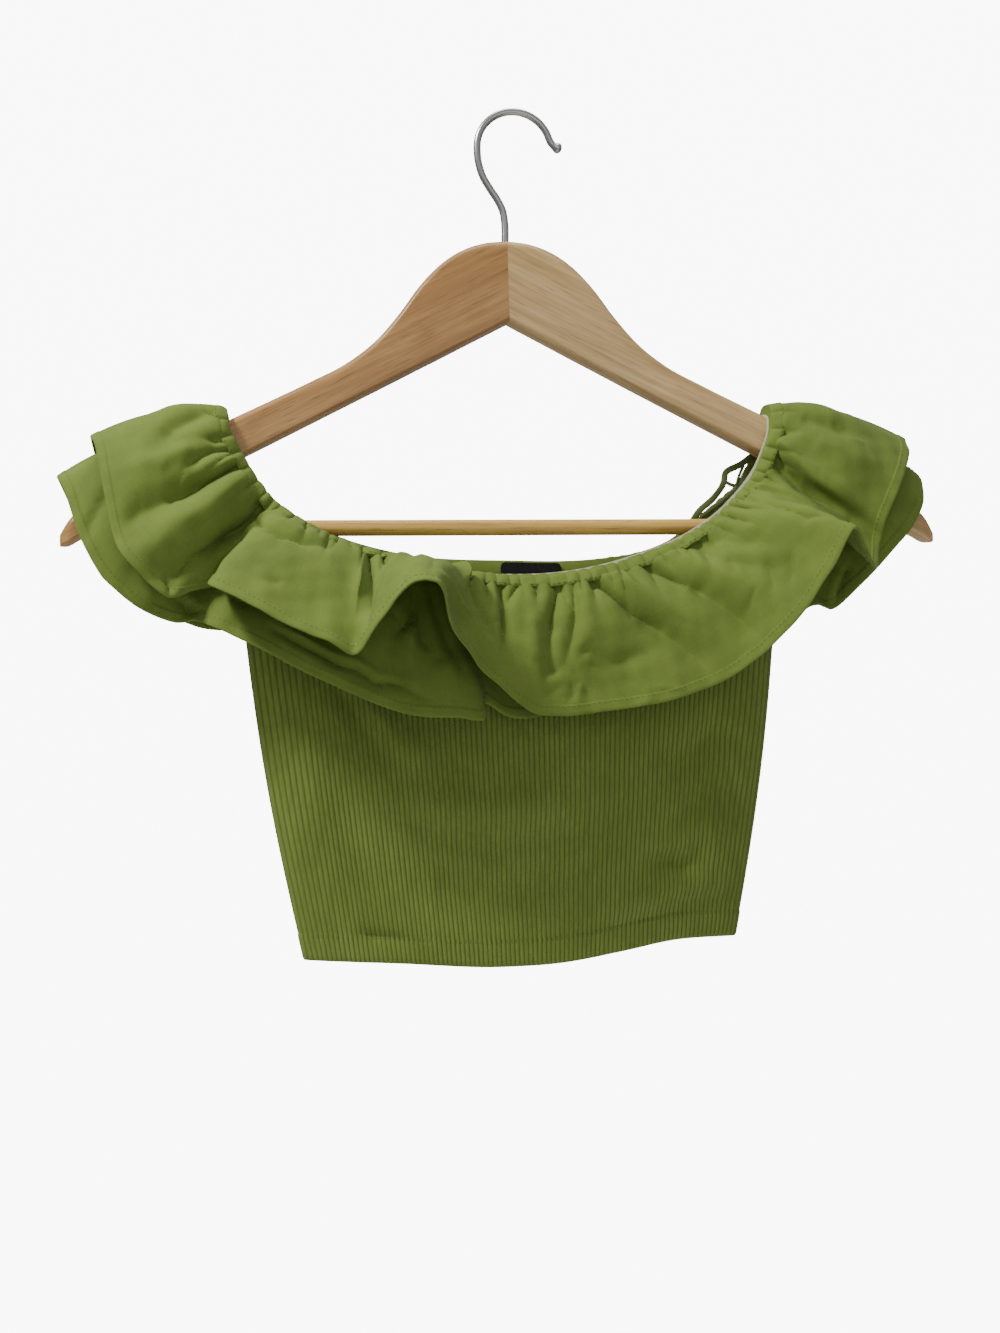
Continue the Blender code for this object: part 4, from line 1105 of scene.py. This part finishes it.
def elastic_shown(facing, shares):
    """1 where the elastic shows above the neckline, which is along the right of the front."""
    return smooth(shares, 0.42, 0.5) if facing < 0 else 1 - smooth(1 - shares, 0.0, 0.02)


def elastic_section(facing, shares):
    """The flat ribbed elastic. It stands a little above the edge where it shows."""
    ribs = 0.03 * np.sin(np.arange(len(shares)) * 2 * np.pi / 3.3)
    stands = 0.4 + (ELASTIC_STANDS - 0.4) * elastic_shown(facing, shares)
    if facing < 0:
        stands = stands + 1.2 * smooth(shares, 0.42, 0.5) * (1 - smooth(shares, 0.84, 0.92))
    corners = []
    for fall, side in ((0.04, -1), (0.96, -1), (1.0, -0.5), (1.0, 0.5), (0.96, 1), (0.5, 1), (0.04, 1),
                       (0.0, 0.5), (0.0, -0.5)):
        lift = ELASTIC_OFFSET + side * (ELASTIC_WALL / 2 + ribs)
        corners.append((fall * ELASTIC_WIDTH - stands, lift, fall * ELASTIC_CUT[1]))
    return corners


def facing_section(facing, shares):
    """The inner half of the channel. It turns outwards over the edges of all the layers."""
    top = -1.2 + 1.05 * elastic_shown(facing, shares)
    still = np.zeros_like(shares)
    corners = []
    for fixed, fall, lift, place in (
        (1, 5.8, -2.22, 0.0), (0, 0.3, -2.22, 6.6), (0, 0.0, -1.95, 7.0), (0, 0.0, -1.0, 7.9),
        (1, -0.25, 3.5, 12.0), (1, -0.10, 3.5, 12.2), (0, 0.15, -1.0, 8.0), (0, 0.15, -1.85, 7.2),
        (0, 0.4, -2.03, 6.8), (1, 5.8, -2.03, 0.1),
    ):
        corners.append((still + fall if fixed else top + fall, still + lift, place * MM))
    return corners


def body(name, facing, creases, material, seed):
    """A body half: round ribs, soft drape and a turned hem with two rows of stitches."""
    panel = BodyPanel(facing)
    columns = RIBS * RIB_SAMPLES
    shares = np.linspace(0.0, 1.0, columns + 1)
    reach = panel.reach(shares)
    edge = 1 - BODY_HEM_BAND / reach
    upper = np.linspace(0.0, 1.0, BODY_ROWS)[:, None] * (edge - 0.004)
    lower = edge + (1 - edge) * np.array((0.0, 0.05, 0.12, 0.25, 0.5, 0.75, 0.9, 0.97, 1.0))[:, None]
    downs = np.concatenate([upper, lower])
    base = panel.points(shares, downs)
    along = cloth_run(base, shares)
    fall = reach * np.ones_like(downs)
    ends = off_ends(shares, 0.03)
    drape = crease_field(shares, downs, along, fall, placed(creases)) * DRAPE_DEPTH
    drape = drape + ripple(base, 70.0, seed) * 0.5 * smooth(downs, 0.1, 0.4)
    drape = drape + ripple(base, 22.0, seed + 1) * 0.12
    normal = grid_normals(base, facing)
    middle = base + normal * (drape * ends)[:, :, None]
    phase = shares * RIBS
    crest = np.abs(np.sin(np.pi * phase)) ** 0.8
    crest = crest * (1 + 0.12 * np.sin(phase * 1.7) * np.sin(phase * 0.37))
    band = smooth((downs - edge) * reach, -0.2, 0.7)
    seam_dip = np.exp(-(((downs - edge) * reach - 0.6) / 0.8) ** 2)
    near_side = off_ends(shares, 0.006)
    height = RIB_HEIGHT * crest * smooth(downs, 0.0, 0.05) * near_side
    height = height + 0.35 * band - 0.3 * seam_dip
    roll = 0.4 + 0.6 * smooth((1 - downs) * reach, 0.0, 1.0)
    outer = middle + normal * ((BODY_WALL / 2 + height) * roll)[:, :, None]
    inner = middle - normal * (BODY_WALL / 2 * roll)[:, :, None]
    ones = np.ones_like(downs)
    uv = np.stack([shares * BODY_CUT[0] * ones, -downs * reach * MM], axis=2)
    ribs_uv = np.stack([phase * ones, downs], axis=2)
    made = shell(name, outer, inner, uv, material, ribs_uv)
    runs = []
    for level in (0.5, 2.2):
        row = np.argmin(np.abs((downs - edge) * reach - level), axis=0)
        crest_row = row[RIB_SAMPLES // 2::RIB_SAMPLES]
        picks = np.arange(RIB_SAMPLES // 2, columns + 1, RIB_SAMPLES)
        runs.append((outer[crest_row, picks] - normal[crest_row, picks] * 0.15, normal[crest_row, picks]))
    return made, runs


def label(name, material):
    """The bare woven label inside the back of the neck, its corners rounded."""
    across = np.linspace(0.0, 1.0, 41)
    x = LABEL_LEFT + (LABEL_RIGHT - LABEL_LEFT) * across
    seam = neck_at_x(1, x)
    edge = np.minimum(across, 1 - across) * (LABEL_RIGHT - LABEL_LEFT)
    within = np.maximum(LABEL_CORNER - edge, 0.0)
    drop = LABEL_CORNER - np.sqrt(np.maximum(LABEL_CORNER ** 2 - within ** 2, 0.0))
    levels = np.linspace(0.0, 1.0, 19)[:, None]
    z = seam[:, 2] - drop - levels * (LABEL_HEIGHT - drop)
    y = seam[:, 1] + INSIDE_OFFSET - LABEL_WALL / 2
    y = y - 0.9 * np.sin(np.pi * levels) * np.sin(np.pi * across) - 0.25 * np.sin(7 * across + 3 * levels)
    centre = np.stack([x * np.ones_like(levels), y * np.ones_like(levels), z], axis=2)
    rim = smooth(edge, 0.0, 0.8) * off_ends(levels, 0.08)
    thick = LABEL_WALL / 2 * (1.15 - 0.35 * rim)
    half_wall = np.array((0.0, -1.0, 0.0)) * thick[:, :, None]
    uv = np.stack([across * LABEL_CUT[0] * np.ones_like(levels),
                   -levels * LABEL_CUT[1] * np.ones_like(across)], axis=2)
    return shell(name, centre + half_wall, centre - half_wall, uv, material)


def tape(name, material):
    """The twisted hanging tape, whose strands cross above the back neckline by the right shoulder."""
    points = []
    faces = []
    turns = circle(TAPE_SIDES)
    for number, (width, strand) in enumerate(TAPE_STRANDS):
        path = np.array(strand)
        knots = travelled(path)
        places = np.linspace(0.0, knots[-1], TAPE_STATIONS)
        line = cubic(knots, path, places)
        y = neck_at_x(1, line[:, 0])[:, 1] + INSIDE_OFFSET - TAPE_WALL - 0.5 * np.sin(places / 3 + number)
        run = unit(np.gradient(line, axis=0))
        twist = 0.25 * np.sin(places / 3.5 + number)[:, None]
        wide = np.cos(turns) * width / 2
        deep = np.sin(turns) * TAPE_WALL / 2
        side = wide * np.cos(twist) - deep * np.sin(twist)
        depth = wide * np.sin(twist) * 0.5 + deep * np.cos(twist)
        rings = np.stack([line[:, :1] - run[:, 1:] * side, y[:, None] + depth,
                          line[:, 1:] + run[:, :1] * side], axis=2)
        faces += rod_faces(len(points), TAPE_STATIONS, TAPE_SIDES)
        points += rings.reshape(-1, 3).tolist()
    points = np.array(points)
    return link(name, points, faces, points[:, (0, 2)] * MM, material)


# Hanger pieces


def arm(name, side, reach, material):
    """Half of the hanger: flat faces with rounded upper edges and crisp lower ones."""
    table = np.array(ARM)
    x = np.concatenate([np.linspace(0.0, 205.0, 150), np.linspace(205.0, TABLE_REACH, 40)[1:]])
    rows = cubic(table[:, 0], table[:, 1:], x)
    stations = []
    for place, (top, underside, thickness) in zip(x, rows):
        centre_y = -ARM_SWEEP * (place / TABLE_REACH) ** 2
        half_y = thickness / 2
        tall = top - underside
        outline = []
        for corner_y, corner_z, radius, start in ((1, 1, 4.6, 0.0), (-1, 1, 4.6, 90.0),
                                                  (-1, -1, 1.6, 180.0), (1, -1, 1.6, 270.0)):
            radius = min(radius, half_y * 0.95, tall * 0.45)
            for turn in np.radians(start + np.linspace(0.0, 90.0, 8)):
                outline.append((corner_y * (half_y - radius) + radius * np.cos(turn),
                                corner_z * (tall / 2 - radius) + radius * np.sin(turn)))
        outline = np.array(outline)
        section_x = np.full(len(outline), side * max(place * reach / TABLE_REACH, HALF_GAP))
        stations.append(np.stack([section_x, centre_y + outline[:, 0],
                                  (top + underside) / 2 + outline[:, 1]], axis=1))
    stations = np.array(stations)
    uv = np.stack([stations[:, :, 0], stations[:, :, 2]], axis=2) * MM
    return tube(name, stations, uv, material)


def bar(name, material):
    """The round trouser bar, its ends cut to the slope of the arms' undersides."""
    turns = circle(BAR_SIDES)
    y = BAR_Y + BAR_RADIUS * np.cos(turns)
    z = BAR_Z + BAR_RADIUS * np.sin(turns)
    drop = (UNDERSIDE_TOP + 0.5 - z) / UNDERSIDE_SLOPE
    stations = []
    for place in np.linspace(-1.0, 1.0, BAR_STATIONS):
        reach = LEFT_REACH if place < 0 else RIGHT_REACH
        stations.append(np.stack([place * drop * reach / TABLE_REACH, y, z], axis=1))
    stations = np.array(stations)
    uv = np.stack([stations[:, :, 0] * MM, np.ones((BAR_STATIONS, 1)) * turns[None] * BAR_RADIUS * MM],
                  axis=2)
    return tube(name, stations, uv, material)


def hook(name, material):
    """The bent wire hook: stem, round bend and turned-out tip with a ball end."""
    stem = [(x, z, HOOK_WIRE) for x, z in HOOK_STEM]
    bend = [(-CENTRE_X + HOOK_BEND * np.cos(angle), HOOK_BEND * (np.sin(angle) - 1) + HOOK_WIRE, HOOK_WIRE)
            for angle in np.linspace(np.pi, HOOK_ARC_END, 22)]
    path = np.array(stem + bend + list(HOOK_TIP))
    knots = travelled(path[:, :2])
    places = np.linspace(0.0, knots[-1], HOOK_STATIONS)
    line = cubic(knots, path, places)
    run = unit(np.gradient(line[:, :2], axis=0))
    turns = circle(HOOK_SIDES)
    radius = line[:, 2:3]
    side = radius * np.cos(turns)
    stations = np.stack([line[:, :1] - run[:, 1:] * side, radius * np.sin(turns),
                         line[:, 1:2] + run[:, :1] * side], axis=2)
    uv = np.stack([places[:, None] * MM * np.ones(HOOK_SIDES),
                   np.ones((HOOK_STATIONS, 1)) * (turns * HOOK_WIRE * MM)[None]], axis=2)
    return tube(name, stations, uv, material)


# Camera, lights and floor


def camera():
    """The photograph's camera."""
    azimuth, elevation = CAMERA_AZIMUTH, CAMERA_ELEVATION
    back = np.array((np.sin(azimuth) * np.cos(elevation), -np.cos(azimuth) * np.cos(elevation),
                     np.sin(elevation)))
    right = unit(np.cross(-back, (0.0, 0.0, 1.0)))
    up = np.cross(right, -back)
    right, up = (right * np.cos(CAMERA_ROLL) - up * np.sin(CAMERA_ROLL),
                 right * np.sin(CAMERA_ROLL) + up * np.cos(CAMERA_ROLL))
    data = bpy.data.cameras.new("camera")
    data.sensor_width = CAMERA_SENSOR
    data.lens = CAMERA_LENS
    data.clip_start = 0.01
    made = bpy.data.objects.new("camera", data)
    turn = Matrix([[right[k], up[k], back[k]] for k in range(3)])
    made.matrix_world = Matrix.Translation(CAMERA_PLACE) @ turn.to_4x4()
    bpy.context.scene.collection.objects.link(made)
    bpy.context.scene.camera = made


def area_light(name, place, size, power, colour):
    """A square soft light that faces the top."""
    data = bpy.data.lights.new(name, "AREA")
    data.size = size
    data.energy = power
    data.color = colour
    made = bpy.data.objects.new(name, data)
    made.location = place
    made.rotation_euler = (Vector(LAMP_TARGET) - Vector(place)).to_track_quat("-Z", "Y").to_euler()
    bpy.context.scene.collection.objects.link(made)


def studio():
    """White surroundings that light the top more from above, a pale floor and soft lights."""
    world = bpy.data.worlds.new("white")
    world.use_nodes = True
    tree = world.node_tree
    background = tree.nodes["Background"]
    background.inputs["Color"].default_value = (1.0, 1.0, 1.0, 1.0)
    direction = node(tree, "ShaderNodeTexCoord").outputs["Generated"]
    split = node(tree, "ShaderNodeSeparateXYZ")
    tree.links.new(direction, split.inputs["Vector"])
    above = node(tree, "ShaderNodeMapRange", interpolation_type="SMOOTHSTEP")
    tree.links.new(split.outputs["Z"], above.inputs["Value"])
    above.inputs["From Min"].default_value = -0.6
    above.inputs["From Max"].default_value = 0.9
    above.inputs["To Min"].default_value = LIGHT_BELOW
    above.inputs["To Max"].default_value = LIGHT_ABOVE
    path = node(tree, "ShaderNodeLightPath").outputs["Is Camera Ray"]
    seen = maths(tree, "MULTIPLY", path, BACKDROP_LIGHT)
    total = maths(tree, "ADD", seen, above.outputs["Result"])
    tree.links.new(total, background.inputs["Strength"])
    bpy.context.scene.world = world
    for lamp in LAMPS:
        area_light(*lamp)
    mesh = bpy.data.meshes.new("floor")
    turns = circle(FLOOR_SIDES)
    rim = np.stack([FLOOR_RADIUS * np.cos(turns), FLOOR_RADIUS * np.sin(turns),
                    np.full(len(turns), FLOOR_LEVEL)], axis=1)
    mesh.from_pydata(rim.tolist(), [], [tuple(range(len(turns)))])
    made, tree, shader = new_material("pale_floor")
    dress(tree, shader, {"Base Color": (0.92, 0.92, 0.92, 1.0), "Roughness": 0.9})
    mesh.materials.append(made)
    floor = bpy.data.objects.new("floor", mesh)
    bpy.context.scene.collection.objects.link(floor)


def main():
    camera()
    studio()

    ruffle_cotton = cotton("ruffle_cotton", (0.125, 0.182, 0.028), (0.155, 0.220, 0.035),
                           (0.175, 0.242, 0.044))
    # Its first colour is painted shade for the grooves between the ribs.
    knit = rib_knit("rib_knit", (0.105, 0.150, 0.028), (0.150, 0.205, 0.036), (0.180, 0.242, 0.046),
                    (0.205, 0.270, 0.058))
    thread = plain_threads("green_thread", (0.11, 0.16, 0.026), (0.145, 0.205, 0.034), 1500, 0.0001)
    cream = plain_threads("cream_elastic", (0.56, 0.52, 0.36), (0.70, 0.66, 0.50), 900, 0.0003)
    black = plain_threads("black_label", (0.003, 0.003, 0.004), (0.010, 0.010, 0.011), 1300, 0.0002)
    strap = cotton("strap_cotton", (0.10, 0.135, 0.040), (0.13, 0.17, 0.055), (0.16, 0.20, 0.07))
    # The two arms share one wood: the left copy is darker with painted shade and the right copy is lighter
    # with painted light, as light falls differently on the two halves.
    left_wood_painted_shade = wood("wood_left_painted_shade", np.radians(27), (0.30, 0.140, 0.036), (0.46, 0.24, 0.072),
                     (0.60, 0.35, 0.125), (0.17, 0.08, 0.025))
    right_wood_painted_light = wood("wood_right_painted_light", np.radians(-27), (0.46, 0.28, 0.10), (0.62, 0.41, 0.17),
                      (0.74, 0.52, 0.25), (0.34, 0.18, 0.06))
    bar_wood = wood("wood_bar", 0.0, (0.56, 0.32, 0.055), (0.78, 0.48, 0.10), (0.90, 0.60, 0.16),
                    (0.32, 0.16, 0.04))
    wire = steel("hook_steel")

    lengths = seam_loop(NECK_FRONT, NECK_BACK)[2:]
    front_gathers = gather_table(11, *GATHER_PITCH, lengths[0])
    back_gathers = gather_table(12, *GATHER_PITCH, lengths[1])
    front_wrinkles = wrinkle_table(21, 44, 0.9)
    back_wrinkles = wrinkle_table(22, 44, 0.9)
    low_front_wrinkles = wrinkle_table(23, 26, 0.6)
    low_back_wrinkles = wrinkle_table(24, 26, 0.6)

    upper_front = Tier(-1, UPPER_FRONT, UPPER_OFFSET)
    upper_back = Tier(1, UPPER_BACK, UPPER_OFFSET)
    lower_front = Tier(-1, LOWER_FRONT, LOWER_OFFSET)
    lower_back = Tier(1, LOWER_BACK, LOWER_OFFSET)

    hem_runs = []
    for name, tier, size, table, creases, wrinkles, puff, room, cut, seed, node_name in (
        ("upper_ruffle_front", upper_front, UPPER_SIZE, front_gathers, UPPER_FRONT_CREASES,
         front_wrinkles, 3.0, (0.8, 14.0), UPPER_FRONT_CUT, 51, "ruffle_upper_front"),
        ("upper_ruffle_back", upper_back, UPPER_SIZE, back_gathers, UPPER_BACK_CREASES,
         back_wrinkles, 3.0, (0.8, 14.0), UPPER_BACK_CUT, 61, "ruffle_upper_back"),
        ("lower_ruffle_front", lower_front, LOWER_SIZE, front_gathers, LOWER_FRONT_CREASES,
         low_front_wrinkles, 0.2, (0.1, 8.0), LOWER_FRONT_CUT, 71, "ruffle_lower_front"),
        ("lower_ruffle_back", lower_back, LOWER_SIZE, back_gathers, LOWER_BACK_CREASES,
         low_back_wrinkles, 0.2, (0.1, 8.0), LOWER_BACK_CUT, 81, "ruffle_lower_back"),
    ):
        made, runs = ruffle(name, tier, size, table, creases, wrinkles, puff, room, cut[0],
                            ruffle_cotton, seed)
        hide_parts(node_name)
        hem_runs += runs
    threads = stitches("hem_threads", hem_runs, thread, radius=0.09)

    band, band_runs = casing("neck_band", (upper_front, upper_back), (front_gathers, back_gathers),
                             ruffle_cotton)
    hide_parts("neck_casing")
    threads = stitches("casing_threads", band_runs, thread, length=1.9, gap=0.9, radius=0.14)

    body_runs = []
    for name, facing, creases, seed, node_name in (
        ("rib_body_front", -1, BODY_FRONT_CREASES, 91, "body_front"),
        ("rib_body_back", 1, BODY_BACK_CREASES, 95, "body_back"),
    ):
        made, runs = body(name, facing, creases, knit, seed)
        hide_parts(node_name)
        body_runs += runs
    threads = stitches("body_hem_threads", body_runs, thread, length=1.7, gap=0.8, radius=0.2)

    trim = neck_loop("neck_elastic_band", ELASTIC_COLUMNS, elastic_section, ELASTIC_CUT[0], cream)
    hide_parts("neck_elastic")
    inner = neck_loop("neck_facing", FACING_COLUMNS, facing_section, CASING_CUT[0], ruffle_cotton)
    tab = label("neck_tab", black)
    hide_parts("neck_label")
    loop = tape("hang_strap", strap)
    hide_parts("hang_tape")

    for made, node_name, slot in (
        (arm("arm_left", -1, LEFT_REACH, left_wood_painted_shade), "hanger_left", "varnished_wood"),
        (arm("arm_right", 1, RIGHT_REACH, right_wood_painted_light), "hanger_right", "varnished_wood"),
        (bar("trouser_bar", bar_wood), "hanger_bar", "varnished_wood"),
        (hook("wire_hook", wire), "hook", "hook_steel"),
    ):
        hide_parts(node_name)


main()
